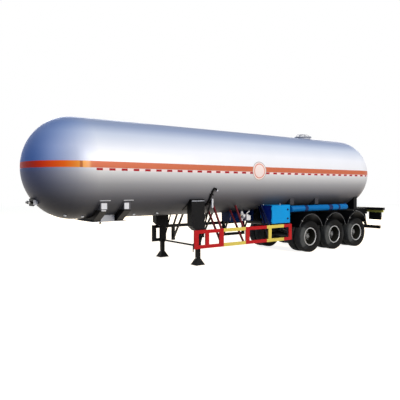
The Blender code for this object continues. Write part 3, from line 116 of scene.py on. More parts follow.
def linear(code: str) -> tuple[float, float, float, float]:
    """Turn an sRGB hex colour into linear RGBA.

    Args:
        code: Six hex digits.

    Returns:
        Linear red, green, blue and an alpha of 1.
    """
    values = [int(code[i:i + 2], 16) / 255.0 for i in (0, 2, 4)]
    lit = [v / 12.92 if v <= 0.04045 else ((v + 0.055) / 1.055) ** 2.4 for v in values]
    return (lit[0], lit[1], lit[2], 1.0)


def per_metre(millimetres: float) -> float:
    """Scale of a noise texture whose features measure that many millimetres."""
    return 1000.0 / millimetres


def add_node(tree: Tree, kind: Kind, inputs: dict[str | int, Any] | Sequence[Any] = (),
             stops: Sequence[tuple[float, str]] = (), **settings: Any) -> Node:
    """Add a node to a tree, with its settings, socket values, colour stops and links.

    Args:
        tree: Node tree that gets the node.
        kind: The node's kind.
        inputs: Values in the sockets' order, or socket name or index to a value. A value may also be an
            output socket, or a node whose first output feeds the socket.
        stops: Place from 0 to 1 and hex colour of each stop, where the node is a ramp.
        settings: Properties of the node.

    Returns:
        The new node.
    """
    node = tree.nodes.new(kind.value)
    for key, value in settings.items():
        setattr(node, key, value)
    named = inputs if isinstance(inputs, dict) else dict(enumerate(inputs))
    for key, value in named.items():
        if isinstance(value, Node):
            value = next(output for output in value.outputs if output.enabled)
        if isinstance(value, Socket):
            tree.links.new(value, node.inputs[key])
        else:
            node.inputs[key].default_value = value
    for number, (place, code) in enumerate(stops):
        elements = node.color_ramp.elements
        element = elements[number] if number < 2 else elements.new(place)
        element.position, element.color = place, linear(code)
    return node


def distance(tree: Tree, first: Any, second: Any) -> Node:
    """Length over two offsets at right angles: the root of the sum of their squares.

    Args:
        tree: Node tree.
        first: Node or socket of one offset.
        second: Node or socket of the other.

    Returns:
        Node whose output is the length.
    """
    wide, tall = (add_node(tree, Kind.MATH, (offset, offset), operation="MULTIPLY")
                  for offset in (first, second))
    total = add_node(tree, Kind.MATH, (wide, tall), operation="ADD")
    return add_node(tree, Kind.MATH, (total,), operation="SQRT")


def between(tree: Tree, value: Any, low: float, high: float, soft: float = 0.002) -> Node:
    """Mark a span of a value: 1 between low and high, 0 elsewhere, each edge a ramp twice as wide as soft.

    Args:
        tree: Node tree.
        value: Node or socket that is read.
        low: Lower end of the span.
        high: Upper end of the span.
        soft: Half the width of an edge.

    Returns:
        Node whose output is the mark.
    """
    rise = add_node(tree, Kind.RANGE, {"Value": value, "From Min": low - soft, "From Max": low + soft})
    fall = add_node(tree, Kind.RANGE, {"Value": value, "From Min": high - soft, "From Max": high + soft,
                                       "To Min": 1.0, "To Max": 0.0})
    return add_node(tree, Kind.MATH, (rise, fall), operation="MULTIPLY")


@dataclass(frozen=True)
class Finish:
    """Painted or plain surface: one base colour with the patches, film and fine texture of the real one."""

    label: str = "plain_paint"
    colour: str = "808080"
    worn: str = "6c6c6c"
    film: str = "6a6258"
    patch_mm: float = 400.0
    film_mm: float = 35.0
    film_top: float = 1.2
    film_share: float = 0.3
    grain_mm: float = 2.5
    bump_mm: float = 0.25
    roughness: float = 0.40
    spread: float = 0.10
    metallic: float = 0.0
    coat: float = 0.0
    specular: float = 0.5

    def colours(self, tree: Tree, place: Socket) -> Node:
        """Base colour before the road film: slow patches between the fresh and the worn paint.

        Args:
            tree: Node tree.
            place: Object coordinates.

        Returns:
            Node whose output is the colour.
        """
        patches = add_node(tree, Kind.NOISE, {"Vector": place, "Scale": per_metre(self.patch_mm),
                                              "Detail": 4.0, "Roughness": 0.55})
        share = add_node(tree, Kind.MATH, (patches, 0.7), operation="MULTIPLY", use_clamp=True)
        return add_node(tree, Kind.MIX, {0: share, 6: linear(self.colour), 7: linear(self.worn)},
                        data_type="RGBA")

    def material(self) -> bpy.types.Material:
        """Build the material, or return the one already built.

        Returns:
            Material with a Principled shader whose colour, roughness and bump follow Object coordinates.
        """
        found = bpy.data.materials.get(self.label)
        if found is not None:
            return found
        material = bpy.data.materials.new(self.label)
        material.use_nodes = True
        tree = material.node_tree
        tree.nodes.clear()
        place = add_node(tree, Kind.PLACE).outputs["Object"]
        height = add_node(tree, Kind.SPLIT, {0: place}).outputs[2]
        spots = add_node(tree, Kind.NOISE, {"Vector": place, "Scale": per_metre(self.film_mm), "Detail": 6.0,
                                            "Roughness": 0.65})
        low = add_node(tree, Kind.RANGE, {"Value": height, "From Min": 0.0, "From Max": self.film_top,
                                          "To Min": self.film_share, "To Max": 0.0})
        share = add_node(tree, Kind.MATH, (low, spots), operation="MULTIPLY", use_clamp=True)
        filmed = add_node(tree, Kind.MIX, {0: share, 6: self.colours(tree, place), 7: linear(self.film)},
                          data_type="RGBA")
        rough = add_node(tree, Kind.RANGE, {"Value": spots, "From Min": 0.25, "From Max": 0.75,
                                            "To Min": self.roughness - self.spread / 2,
                                            "To Max": self.roughness + self.spread / 2})
        grain = add_node(tree, Kind.NOISE, {"Vector": place, "Scale": per_metre(self.grain_mm),
                                            "Detail": 3.0})
        bump = add_node(tree, Kind.BUMP, {"Strength": 0.6, "Distance": self.bump_mm / 1000.0,
                                          "Height": grain})
        surface = add_node(tree, Kind.SURFACE, {
            "Base Color": filmed, "Roughness": rough, "Normal": bump, "Metallic": self.metallic,
            "Coat Weight": self.coat, "Specular IOR Level": self.specular})
        add_node(tree, Kind.OUTPUT, {0: surface})
        return material


@dataclass(frozen=True)
class SilverEnamel(Finish):
    """Aluminium-flake enamel sprayed on rolled steel, with its painted band, tape and two bare discs, and
    painted shade below and a painted sky reflection above.
    """

    label: str = "aluminium_flake_enamel"
    axis_z: float = 2.572
    radius: float = 1.245
    nose_x: float = 6.43
    head_x: float = 5.55
    flake_mm: float = 900.0
    band_low: float = -0.030
    band_high: float = 0.118
    tape_low: float = -0.090
    tape_high: float = -0.036
    tape_front: float = 5.141
    tape_rear: float = -5.6
    tape_period: float = 0.310
    disc_x: float = 0.120
    disc_radius: float = 0.270
    disc_rim: float = 0.022
    ring_outer: float = 0.055
    ring_inner: float = 0.085
    # From the belly to the crown: painted shade darkening the underside, near white at mid height, and a
    # painted sky reflection in blue on top.
    shell_stops: tuple[tuple[float, str], ...] = (
        (0.0, "17161a"), (1.0, "8292b2"), (0.07, "222226"), (0.14, "4b4a4d"), (0.22, "727174"),
        (0.34, "a9a9aa"), (0.44, "dadad8"), (0.52, "f6f6f5"), (0.68, "f6f8fb"), (0.82, "d6dfec"),
        (0.91, "9dadca"))
    # The same on the front head, painted darker and bluer there as painted shade with a painted sky
    # reflection.
    nose_stops: tuple[tuple[float, str], ...] = (
        (0.0, "1b1b21"), (1.0, "0c68bc"), (0.20, "353743"), (0.45, "3a4674"), (0.55, "0868c0"))
    # Along the band, from the straight wall to the nose: a pale lap, a dark joint, then orange that turns red
    # towards the nose as painted shade on the front head.
    band_stops: tuple[tuple[float, str], ...] = (
        (0.0, "cc6e4c"), (1.0, "d0180e"), (0.08, "d07a52"), (0.13, "eaa870"), (0.225, "f2a858"),
        (0.245, "b86a34"), (0.275, "b86a34"), (0.295, "f09638"), (0.52, "fa6c18"), (0.82, "fa3c08"))

    def colours(self, tree: Tree, place: Socket) -> Node:
        """Flake enamel with painted shade towards the belly and a painted sky reflection on the crown, then
        band, tape and discs over it.

        Args:
            tree: Node tree.
            place: Object coordinates.

        Returns:
            Node whose output is the colour.
        """
        axes = add_node(tree, Kind.SPLIT, {0: place})
        along = axes.outputs[0]
        height = add_node(tree, Kind.MATH, (axes.outputs[2], self.axis_z), operation="SUBTRACT")
        shell = self.enamel(tree, place, along, height)
        lap = add_node(tree, Kind.RANGE, {"Value": along, "From Min": self.head_x - 0.4,
                                          "From Max": self.nose_x})
        # Painted shade: the band turns from orange to red towards the nose.
        band = add_node(tree, Kind.RAMP, {"Fac": lap}, self.band_stops)
        inside = between(tree, height, self.band_low, self.band_high)
        painted = add_node(tree, Kind.MIX, {0: inside, 6: shell, 7: band}, data_type="RGBA")
        painted = self.taped(tree, painted, along, height)
        return self.discs(tree, painted, along, height)

    def enamel(self, tree: Tree, place: Socket, along: Socket, height: Node) -> Node:
        """Colour the bare enamel by height, as painted shade below and a painted sky reflection above, with
        slow patches, and darker and bluer towards the front head's nose as painted shade.

        Args:
            tree: Node tree.
            place: Object coordinates.
            along: Socket of x.
            height: Height over the vessel's axis.

        Returns:
            Node of the bare enamel's colour.
        """
        share = add_node(tree, Kind.RANGE, {"Value": height, "From Min": -self.radius,
                                            "From Max": self.radius})
        # Painted shade and painted sky reflection: the colour follows the height over the axis.
        shell = add_node(tree, Kind.RAMP, {"Fac": share}, self.shell_stops)
        patches = add_node(tree, Kind.NOISE, {"Vector": place, "Scale": per_metre(self.flake_mm),
                                              "Detail": 5.0})
        dulled = add_node(tree, Kind.MATH, (patches, 0.10), operation="MULTIPLY")
        shell = add_node(tree, Kind.MIX, {0: dulled, 6: shell, 7: linear("8d96a8")}, data_type="RGBA")
        # Painted shade and sky reflection on the front head: darker and bluer towards the nose.
        ahead = add_node(tree, Kind.RANGE, {"Value": along, "From Min": self.head_x - 0.5,
                                            "From Max": self.nose_x})
        nose = add_node(tree, Kind.MATH, (ahead, 0.95), operation="MULTIPLY")
        cool = add_node(tree, Kind.RAMP, {"Fac": share}, self.nose_stops)
        return add_node(tree, Kind.MIX, {0: nose, 6: shell, 7: cool}, data_type="RGBA")

    def taped(self, tree: Tree, under: Node, along: Socket, height: Node) -> Node:
        """Lay the strip of red and pale tape under the band: each period's first half is red.

        Args:
            tree: Node tree.
            under: Colour below the tape.
            along: Socket of x.
            height: Height over the vessel's axis.

        Returns:
            Node of the taped colour.
        """
        behind = add_node(tree, Kind.MATH, (self.tape_front, along), operation="SUBTRACT")
        periods = add_node(tree, Kind.MATH, (behind, self.tape_period), operation="DIVIDE")
        cycle = add_node(tree, Kind.MATH, (periods,), operation="FRACT")
        red = between(tree, cycle, 0.0, 0.5, 0.02)
        tape = add_node(tree, Kind.MIX, {0: red, 6: linear("f3ded9"), 7: linear("a81f28")}, data_type="RGBA")
        strip = add_node(tree, Kind.MATH, (between(tree, height, self.tape_low, self.tape_high),
                                           between(tree, along, self.tape_rear, self.tape_front)),
                         operation="MULTIPLY")
        return add_node(tree, Kind.MIX, {0: strip, 6: under, 7: tape}, data_type="RGBA")

    def discs(self, tree: Tree, under: Node, along: Socket, height: Node) -> Node:
        """Paint the bare disc on each flank by distance from its centre: grey rim, pale field, thin ring.

        Args:
            tree: Node tree.
            under: Colour below the discs.
            along: Socket of x.
            height: Height over the vessel's axis.

        Returns:
            Node of the finished colour.
        """
        across = add_node(tree, Kind.MATH, (along, self.disc_x), operation="SUBTRACT")
        away = distance(tree, across, height)
        layers = ((between(tree, away, -1.0, self.disc_radius), "b9b2ad"),
                  (between(tree, away, -1.0, self.disc_radius - self.disc_rim), "f6e4dc"),
                  (between(tree, away, self.disc_radius - self.ring_inner, self.disc_radius - self.ring_outer,
                           0.004), "e0927c"))
        for mark, code in layers:
            under = add_node(tree, Kind.MIX, {0: mark, 6: under, 7: linear(code)}, data_type="RGBA")
        return under


@dataclass(frozen=True)
class GuardPaint(Finish):
    """Brushed red and yellow gloss paint in blocks along the guard, with painted shade in dark red, dark blue
    and black on its inner faces and struts.
    """

    label: str = "guard_block_paint"
    face_y: float = 1.086
    hidden_y: float = 1.1165
    drag_mm: float = 120.0
    stops: tuple[tuple[float, str], ...] = (
        (9.0, "c61016"), (1.357, "f4de66"), (0.543, "c61016"), (-0.308, "f4de66"), (-1.036, "c61016"))
    # Painted shade: the inner faces and struts are dark red ahead and dark blue behind on the left, and black
    # on the right.
    strut_split: float = -0.2
    strut_front: str = "640f1c"
    strut_rear: str = "0c173f"
    frame: str = "16161a"

    def colours(self, tree: Tree, place: Socket) -> Node:
        """Blocks by x on the guard's own faces, and painted shade inboard of them: dark red or dark blue on
        the left, black on the right.

        Args:
            tree: Node tree.
            place: Object coordinates.

        Returns:
            Node whose output is the colour.
        """
        axes = add_node(tree, Kind.SPLIT, {0: place})
        along, y = axes.outputs[0], axes.outputs[1]
        colour: Any = linear(self.stops[0][1])
        for start, code in self.stops[1:]:
            behind = add_node(tree, Kind.MATH, (along, start), operation="LESS_THAN")
            colour = add_node(tree, Kind.MIX, {0: behind, 6: colour, 7: linear(code)}, data_type="RGBA")
        patches = add_node(tree, Kind.NOISE, {"Vector": place, "Scale": per_metre(self.drag_mm),
                                              "Detail": 4.0})
        drag = add_node(tree, Kind.MATH, (patches, 0.25), operation="MULTIPLY")
        colour = add_node(tree, Kind.MIX, {0: drag, 6: colour, 7: linear("7a1414")}, data_type="RGBA",
                          blend_type="MULTIPLY")
        ahead = add_node(tree, Kind.MATH, (along, self.strut_split), operation="GREATER_THAN")
        struts = add_node(tree, Kind.MIX, {0: ahead, 6: linear(self.strut_rear), 7: linear(self.strut_front)},
                          data_type="RGBA")
        faces = add_node(tree, Kind.MATH, (y, self.face_y), operation="GREATER_THAN")
        left = add_node(tree, Kind.MIX, {0: faces, 6: struts, 7: colour}, data_type="RGBA")
        faces = add_node(tree, Kind.MATH, (y, -self.hidden_y), operation="LESS_THAN")
        right = add_node(tree, Kind.MIX, {0: faces, 6: linear(self.frame), 7: colour}, data_type="RGBA")
        far = add_node(tree, Kind.MATH, (y, 0.0), operation="LESS_THAN")
        return add_node(tree, Kind.MIX, {0: far, 6: left, 7: right}, data_type="RGBA")


@dataclass(frozen=True)
class StripedBoard(Finish):
    """Black beam paint over a retroreflective sheet in bars, laid on the parts below a height."""

    label: str = "reflective_sheet_beam"
    split_z: float = 1.23
    bar: float = 0.150
    light: str = "f0ea6a"
    dark: str = "8a1016"
    rear_x: float = -6.395

    def colours(self, tree: Tree, place: Socket) -> Node:
        """Slanted bars on the rearward face, and the sheet's plain yellow on its other faces.

        Args:
            tree: Node tree.
            place: Object coordinates.

        Returns:
            Node whose output is the colour.
        """
        axes = add_node(tree, Kind.SPLIT, {0: place})
        slant = add_node(tree, Kind.MATH, (axes.outputs[1], axes.outputs[2]), operation="ADD")
        pairs = add_node(tree, Kind.MATH, (slant, 2.0 * self.bar), operation="DIVIDE")
        cycle = add_node(tree, Kind.MATH, (pairs,), operation="FRACT")
        first = add_node(tree, Kind.MATH, (cycle, 0.5), operation="LESS_THAN")
        bars = add_node(tree, Kind.MIX, {0: first, 6: linear(self.light), 7: linear(self.dark)},
                        data_type="RGBA")
        rear = add_node(tree, Kind.MATH, (axes.outputs[0], self.rear_x), operation="LESS_THAN")
        sheet = add_node(tree, Kind.MIX, {0: rear, 6: linear(self.light), 7: bars}, data_type="RGBA")
        below = add_node(tree, Kind.MATH, (axes.outputs[2], self.split_z), operation="LESS_THAN")
        return add_node(tree, Kind.MIX, {0: below, 6: linear(self.colour), 7: sheet}, data_type="RGBA")


@dataclass(frozen=True)
class TyreRubber(Finish):
    """Moulded tyre rubber: nearly black on the tread, greyer in rings towards its bead from road dust and a
    painted highlight near the rim.
    """

    label: str = "moulded_tyre_rubber"
    middle_x: float = -3.0
    pitch: float = 1.235
    axle_z: float = 0.506
    seat_radius: float = 0.27
    bloom_mm: float = 90.0

    def colours(self, tree: Tree, place: Socket) -> Node:
        """Rubber by its distance from the nearest axle, greyer near the bead as road dust and a painted
        highlight, with a grey bloom in slow patches.

        Args:
            tree: Node tree.
            place: Object coordinates.

        Returns:
            Node whose output is the colour.
        """
        axes = add_node(tree, Kind.SPLIT, {0: place})
        offset = add_node(tree, Kind.MATH, (axes.outputs[0], self.middle_x), operation="SUBTRACT")
        pitches = add_node(tree, Kind.MATH, (offset, self.pitch), operation="DIVIDE")
        nearest = add_node(tree, Kind.MATH, (pitches,), operation="ROUND")
        beside = add_node(tree, Kind.MATH, (pitches, nearest), operation="SUBTRACT")
        along = add_node(tree, Kind.MATH, (beside, self.pitch), operation="MULTIPLY")
        above = add_node(tree, Kind.MATH, (axes.outputs[2], self.axle_z), operation="SUBTRACT")
        away = distance(tree, along, above)
        share = add_node(tree, Kind.RANGE, {"Value": away, "From Min": self.seat_radius,
                                            "From Max": self.axle_z})
        # Road dust and a painted highlight: lighter grey rings near the bead.
        rubber = add_node(tree, Kind.RAMP, {"Fac": share}, (
            (0.0, "5a5c5a"), (1.0, self.colour), (0.14, "525452"), (0.26, "383a3a"), (0.34, "202223"),
            (0.50, "2a2c2e"), (0.68, "181a1b"), (0.86, "0a0b0c")))
        bloom = add_node(tree, Kind.NOISE, {"Vector": place, "Scale": per_metre(self.bloom_mm), "Detail": 5.0,
                                            "Roughness": 0.6})
        dusty = add_node(tree, Kind.MATH, (bloom, 0.6), operation="MULTIPLY", use_clamp=True)
        return add_node(tree, Kind.MIX, {0: dusty, 6: rubber, 7: linear(self.worn)}, data_type="RGBA")


@dataclass(frozen=True)
class CabinetPaint(Finish):
    """Blue gloss enamel, bright on the outer sheets, with painted shade in navy on the front sheet."""

    label: str = "blue_gloss_enamel"
    front_x: float = -0.512
    door_y: float = 1.100
    # Painted shade: navy on the front sheet.
    inner: str = "1a3aa4"

    def colours(self, tree: Tree, place: Socket) -> Node:
        """Base colours, with navy as painted shade on the front sheet inboard of the door.

        Args:
            tree: Node tree.
            place: Object coordinates.

        Returns:
            Node whose output is the colour.
        """
        axes = add_node(tree, Kind.SPLIT, {0: place})
        ahead = add_node(tree, Kind.MATH, (axes.outputs[0], self.front_x), operation="GREATER_THAN")
        inboard = add_node(tree, Kind.MATH, (axes.outputs[1], self.door_y), operation="LESS_THAN")
        share = add_node(tree, Kind.MATH, (ahead, inboard), operation="MULTIPLY")
        return add_node(tree, Kind.MIX, {0: share, 6: super().colours(tree, place), 7: linear(self.inner)},
                        data_type="RGBA")


@dataclass(frozen=True)
class SaddlePaint(Finish):
    """Dark enamel on the saddles' webs, and the vessel's silver on the pads that lie along its wall, darkened
    there as painted shade like the belly.
    """

    label: str = "two_tone_saddle_enamel"
    pad_z: float = 1.560
    rear_x: float = -9.0
    # Painted shade: the vessel's silver darkened to the belly's grey.
    pad: str = "5a595c"

    def colours(self, tree: Tree, place: Socket) -> Node:
        """Base colours below the pads' edge, and belly grey painted as shade above it ahead of the rear post.

        Args:
            tree: Node tree.
            place: Object coordinates.

        Returns:
            Node whose output is the colour.
        """
        axes = add_node(tree, Kind.SPLIT, {0: place})
        above = add_node(tree, Kind.MATH, (axes.outputs[2], self.pad_z), operation="GREATER_THAN")
        ahead = add_node(tree, Kind.MATH, (axes.outputs[0], self.rear_x), operation="GREATER_THAN")
        share = add_node(tree, Kind.MATH, (above, ahead), operation="MULTIPLY")
        return add_node(tree, Kind.MIX, {0: share, 6: super().colours(tree, place), 7: linear(self.pad)},
                        data_type="RGBA")


# Chassis enamel: black, sprayed, satin, dusty low down. It looks nearly black with soft highlights.
BLACK = Finish("black_chassis_enamel", "08090b", "0e0f12", "35312c", roughness=0.50, film_share=0.12,
               specular=0.09)
# Bracket enamel: the same paint, a little glossier where rain washes it.
DARK = Finish("dark_bracket_enamel", "08090c", "0f1014", "35312c", roughness=0.42, film_share=0.08,
              specular=0.10)
# Cabinet enamel: bright blue gloss on folded sheet, which mirrors a little of the sky, with painted shade in
# navy on its front sheet.
BLUE = CabinetPaint(colour="03a3ea", worn="0288c8", film="3a4a58", roughness=0.38, coat=0.03, specular=0.15,
                    film_share=0.10)
# Tube enamel: the same blue, painted darker as painted shade, with a road film on it.
TUBE = Finish("aged_blue_enamel", "0476bc", "0364a2", "2c3e50", roughness=0.42, specular=0.1, film_top=1.9,
              film_share=0.12)
# Navy: the same blue in darker paint on straps and clamps, and as painted shade on the valve box.
NAVY = Finish("navy_strap_enamel", "0a2a63", "081c46", "30363e", roughness=0.40, specular=0.12,
              film_share=0.12)
# White lacquer on small plates and pipes.
WHITE = Finish("white_lacquer", "f0f0f0", "dedede", "8f8a80", roughness=0.45, specular=0.3, film_share=0.12)
# Pale grey primer that the coupling webs were left in.
PRIMER = Finish("pale_grey_primer", "bdbfc4", "a6a9b0", "857f77", roughness=0.55, specular=0.3,
                film_share=0.12)
# Zinc-plated fasteners and brackets: cool grey metal with a dull bright skin.
ZINC = Finish("zinc_plated_steel", "9fa1a4", "7d7f83", "5a554e", patch_mm=25.0, grain_mm=1.2, roughness=0.40,
              metallic=0.9, film_share=0.10)
# Machined steel of the coupling pin with a thin grease.
GREASED = Finish("greased_machined_steel", "5f5e5c", "3c3935", "2a2724", patch_mm=18.0, grain_mm=0.8,
                 roughness=0.30, metallic=0.9, film_share=0.10)
# Pressed steel rims, painted silver: the rolled flange catches the light as one bright ring.
RIM = Finish("silver_rim_lacquer", "d2d3d2", "b4b4b0", "6d675f", patch_mm=60.0, roughness=0.38, metallic=0.15,
             film_share=0.20, film_top=1.0)
# Deep wheel dishes, painted nearly black as painted shade in their hollows.
DISH = Finish("brake_dusted_rim_lacquer", "25261f", "151614", "2c2923", patch_mm=45.0, roughness=0.55,
              metallic=0.05, specular=0.12, film_share=0.30, film_top=1.0)
# Hubs and stud rings, a lighter grey than the dish behind them, partly as a painted highlight for their
# glints.
HUB = Finish("worn_hub_paint", "7c7e7e", "3a3c3c", "38332c", patch_mm=30.0, roughness=0.45, metallic=0.15,
             film_share=0.3, film_top=1.0)
# Moulded guards: black polypropylene with a soft sheen.
PLASTIC = Finish("black_moulded_polypropylene", "050608", "090a0d", "2a2622", grain_mm=1.5, roughness=0.36,
                 specular=0.08, film_share=0.08)
# Edge trim: a grey bead on each arch's lip, a painted highlight that draws a thin pale line round each arch.
BEAD_HIGHLIGHT = Finish("grey_rubber_edge_trim", "6e7072", "505254", "4a463f", patch_mm=120.0, roughness=0.38,
              specular=0.4, film_share=0.3)
# Moulded acrylic lenses of the lamps: glossy, and saturated even in the shade.
AMBER = Finish("amber_lamp_lens", "d87408", "b05c04", "7a6a50", patch_mm=8.0, roughness=0.25, coat=0.10,
               specular=0.25)
RED = Finish("red_lamp_lens", "b40810", "8a060a", "6a3a34", patch_mm=8.0, roughness=0.25, coat=0.10,
             specular=0.25)
# Clear acrylic lenses: nearly white from the reflector behind them.
CLEAR = Finish("white_lamp_lens", "dfe2e4", "c6cacd", "8a857c", patch_mm=8.0, roughness=0.20, coat=0.25)
# Reflective tape: red and pale bars, matt over fine glass beads.
TAPE = Finish("glass_bead_red_tape", "c01018", "960c12", "6a3a34", patch_mm=30.0, grain_mm=1.0,
              roughness=0.55, specular=0.2)
# Cast brass of the handwheel and the thin pipe: dull gold, browned in the hollows.
BRASS = Finish("cast_brass", "b08a4a", "8a6a35", "5a4a38", patch_mm=12.0, roughness=0.34, metallic=0.9)
# Tyre rubber is nearly black on the tread and greyer on its walls, where the road's dust sits in the rings
# and a painted highlight lies near the rim.
TYRE = TyreRubber(colour="060708", worn="101112", film="2e2b28", film_mm=14.0, film_top=0.9, film_share=0.20,
                  grain_mm=2.0, bump_mm=0.4, roughness=0.62, spread=0.16, specular=0.08)
# Saddle paint: black like the chassis below, and the vessel's own silver where the pads lie on its wall,
# darkened as painted shade.
SADDLE = SaddlePaint(colour="08090c", worn="0f1014", film="35312c", roughness=0.42, film_share=0.08,
                     specular=0.10)
# Frame paint: chassis black, with the pads under the vessel's wall in a belly grey, darkened as painted
# shade.
FRAME = SaddlePaint(label="two_tone_frame_enamel", colour="08090b", worn="0e0f12", film="35312c",
                    roughness=0.50, film_share=0.12, specular=0.09, pad_z=1.545, rear_x=-4.8, pad="403f43")
# Silver flake enamel: painted nearly white at mid height where the light falls square on it, with painted
# shade and road film towards the belly and a painted sky reflection in blue-grey on the crown.
SHELL = SilverEnamel(film="55534f", film_mm=160.0, film_top=1.9, film_share=0.35, grain_mm=6.0, bump_mm=0.06,
                     roughness=0.42, spread=0.05, metallic=0.08, specular=0.12)
# Guard paint: red and yellow blocks brushed on by hand, with a fine drag in the gloss, and painted shade on
# the inner faces and struts.
GUARD = GuardPaint(film="5c554b", film_share=0.18, film_top=0.8, specular=0.2)
# Signal board: retroreflective sheet in yellow and red bars, matt, on the black enamel of the rear beam.
BOARD = StripedBoard(colour="090a0d", worn="121317", roughness=0.40, specular=0.2)


@dataclass
class Shape:
    """Points and faces of a surface before it is put into a mesh."""

    points: np.ndarray
    faces: list[list[int]]

    def shifted(self, x: float, y: float, z: float) -> "Shape":
        """The shape moved by an offset."""
        return Shape(self.points + np.array([x, y, z]), self.faces)

    def mirrored(self) -> "Shape":
        """The shape on the trailer's other side, with its faces turned back outwards."""
        return Shape(self.points * np.array([1.0, -1.0, 1.0]), [face[::-1] for face in self.faces])

    def turned(self, axis: Axis, degrees: float) -> "Shape":
        """The shape turned about an axis through the origin."""
        matrix = np.array(Matrix.Rotation(math.radians(degrees), 3, axis.name))
        return Shape(self.points @ matrix.T, self.faces)


def joined(shapes: Sequence[Shape]) -> Shape:
    """Put several shapes into one.

    Args:
        shapes: Shapes, each closed.

    Returns:
        One shape that holds them all.
    """
    starts = np.cumsum([0] + [len(shape.points) for shape in shapes[:-1]])
    faces = [[int(start) + corner for corner in face] for start, shape in zip(starts, shapes)
             for face in shape.faces]
    return Shape(np.concatenate([shape.points for shape in shapes]), faces)


def grid(points: np.ndarray, around: bool = True, closed: bool = False, caps: bool = True) -> Shape:
    """Skin a grid of points: each cell of the two parameters becomes one four-sided face.

    Args:
        points: Array of rings by points in a ring by three.
        around: Whether each ring closes on itself.
        closed: Whether the last ring joins the first.
        caps: Whether the first and last rings are filled, where each ring closes and the rings don't.

    Returns:
        The skinned shape.
    """
    rings, count = points.shape[:2]
    index = np.arange(rings * count).reshape(rings, count)
    if closed:
        index = np.concatenate([index, index[:1]])
    if around:
        index = np.concatenate([index, index[:, :1]], axis=1)
    quads = np.stack([index[:-1, :-1], index[1:, :-1], index[1:, 1:], index[:-1, 1:]], axis=-1).reshape(-1, 4)
    faces = quads.tolist()
    if caps and around and not closed:
        faces.append(list(range(count)))
        faces.append(list(range((rings - 1) * count, rings * count))[::-1])
    return Shape(points.reshape(-1, 3), faces)


def revolved(profile: np.ndarray, sides: int, axis: Axis = Axis.Z, ring: bool = False) -> Shape:
    """Turn a profile about an axis: each point (r, a) sweeps the circle of radius r at the place a.

    Args:
        profile: Radius and place along the axis of each point.
        sides: Faces round the axis.
        axis: The axis that it turns about.
        ring: Whether the profile closes on itself, as a tyre's does.

    Returns:
        The turned shape.
    """
    profile = np.asarray(profile, float)
    turn = np.linspace(0.0, TAU, sides, endpoint=False)
    radius, along = profile[:, :1], profile[:, 1:]
    flat = [radius * np.cos(turn), radius * np.sin(turn)]
    rise = np.broadcast_to(along, flat[0].shape)
    order = {Axis.X: (rise, flat[0], flat[1]), Axis.Y: (flat[1], rise, flat[0]),
             Axis.Z: (flat[0], flat[1], rise)}
    return grid(np.stack(order[axis], axis=-1), closed=ring)


def smoothed(path: Sequence[Sequence[float]], times: int = 3) -> np.ndarray:
    """Cut a path's corners: each inner corner gives way to points a quarter in from it, a few times over.

    Args:
        path: Corner points.
        times: How often the corners are cut.

    Returns:
        Points of the bent path.
    """
    points = np.asarray(path, float)
    for _ in range(times):
        near = points[:-1] * 0.75 + points[1:] * 0.25
        far = points[:-1] * 0.25 + points[1:] * 0.75
        inner = np.stack([near, far], axis=1).reshape(-1, points.shape[1])
        points = np.concatenate([points[:1], inner, points[-1:]])
    return points


def swept(path: np.ndarray, section: np.ndarray, up: Sequence[float] = (0.0, 0.0, 1.0),
          closed: bool = False) -> Shape:
    """Carry a flat section along a path, upright to it at every point.

    Args:
        path: Points of the path.
        section: Two offsets of each section point: sideways, and upwards as near as the path allows.
        up: Direction that stays upwards in the section.
        closed: Whether the path closes on itself.

    Returns:
        The swept shape.
    """
    path = np.asarray(path, float)
    section = np.asarray(section, float)
    ahead = np.roll(path, -1, axis=0) - np.roll(path, 1, axis=0)
    if not closed:
        ahead[0], ahead[-1] = path[1] - path[0], path[-1] - path[-2]
    ahead /= np.linalg.norm(ahead, axis=1, keepdims=True)
    side = np.cross(ahead, np.asarray(up, float))
    side /= np.linalg.norm(side, axis=1, keepdims=True)
    over = np.cross(side, ahead)
    points = path[:, None] + section[None, :, :1] * side[:, None] + section[None, :, 1:] * over[:, None]
    return grid(points, closed=closed)


def circle(radius: float, sides: int = 16) -> np.ndarray:
    """Section points of a round bar."""
    turn = np.linspace(0.0, TAU, sides, endpoint=False)
    return np.stack([radius * np.cos(turn), radius * np.sin(turn)], axis=-1)


def pipe(path: Sequence[Sequence[float]], radius: float, up: Sequence[float] = (0.0, 0.0, 1.0),
         sides: int = 16) -> Shape:
    """Round pipe along a path whose corners are bent smooth."""
    return swept(smoothed(path), circle(radius, sides), up)


def rounded(half_u: float, half_v: float, corner: float, steps: int = 5) -> np.ndarray:
    """Outline of a rectangle with round corners: each quarter circle stands at its corner's centre.

    Args:
        half_u: Half the width.
        half_v: Half the height.
        corner: Radius of the corners.
        steps: Points on each quarter circle.

    Returns:
        Points of the outline, in order.
    """
    turn = np.linspace(0.0, TAU, 4 * steps, endpoint=False) + TAU / (8 * steps)
    reach = np.stack([np.cos(turn), np.sin(turn)], axis=-1)
    return np.sign(reach) * np.array([half_u - corner, half_v - corner]) + corner * reach


def slab(low: Sequence[float], high: Sequence[float], axis: Axis, corner: float = 0.006) -> Shape:
    """Plate between two corners, with the four edges along one axis rounded and its faces eased in.

    Args:
        low: Lowest corner.
        high: Highest corner.
        axis: Direction of the plate's thickness.
        corner: Radius of its corners.

    Returns:
        The closed plate.
    """
    low, high = np.asarray(low, float), np.asarray(high, float)
    u, v = [k for k in range(3) if k != axis.value]
    half = (high - low) / 2
    corner = min(corner, half[u] * 0.98, half[v] * 0.98)
    ease = min(0.002, half[axis.value] * 0.4, corner * 0.5)
    outer = rounded(half[u], half[v], corner)
    inner = rounded(half[u] - ease, half[v] - ease, corner - ease * 0.9)
    depths = np.array([-half[axis.value], -half[axis.value] + ease, half[axis.value] - ease,
                       half[axis.value]])
    points = np.zeros((4, len(outer), 3))
    points[:, :, axis.value] = depths[:, None]
    for ring, outline in enumerate((inner, outer, outer, inner)):
        points[ring, :, u], points[ring, :, v] = outline[:, 0], outline[:, 1]
    return grid(points + (low + high) / 2)


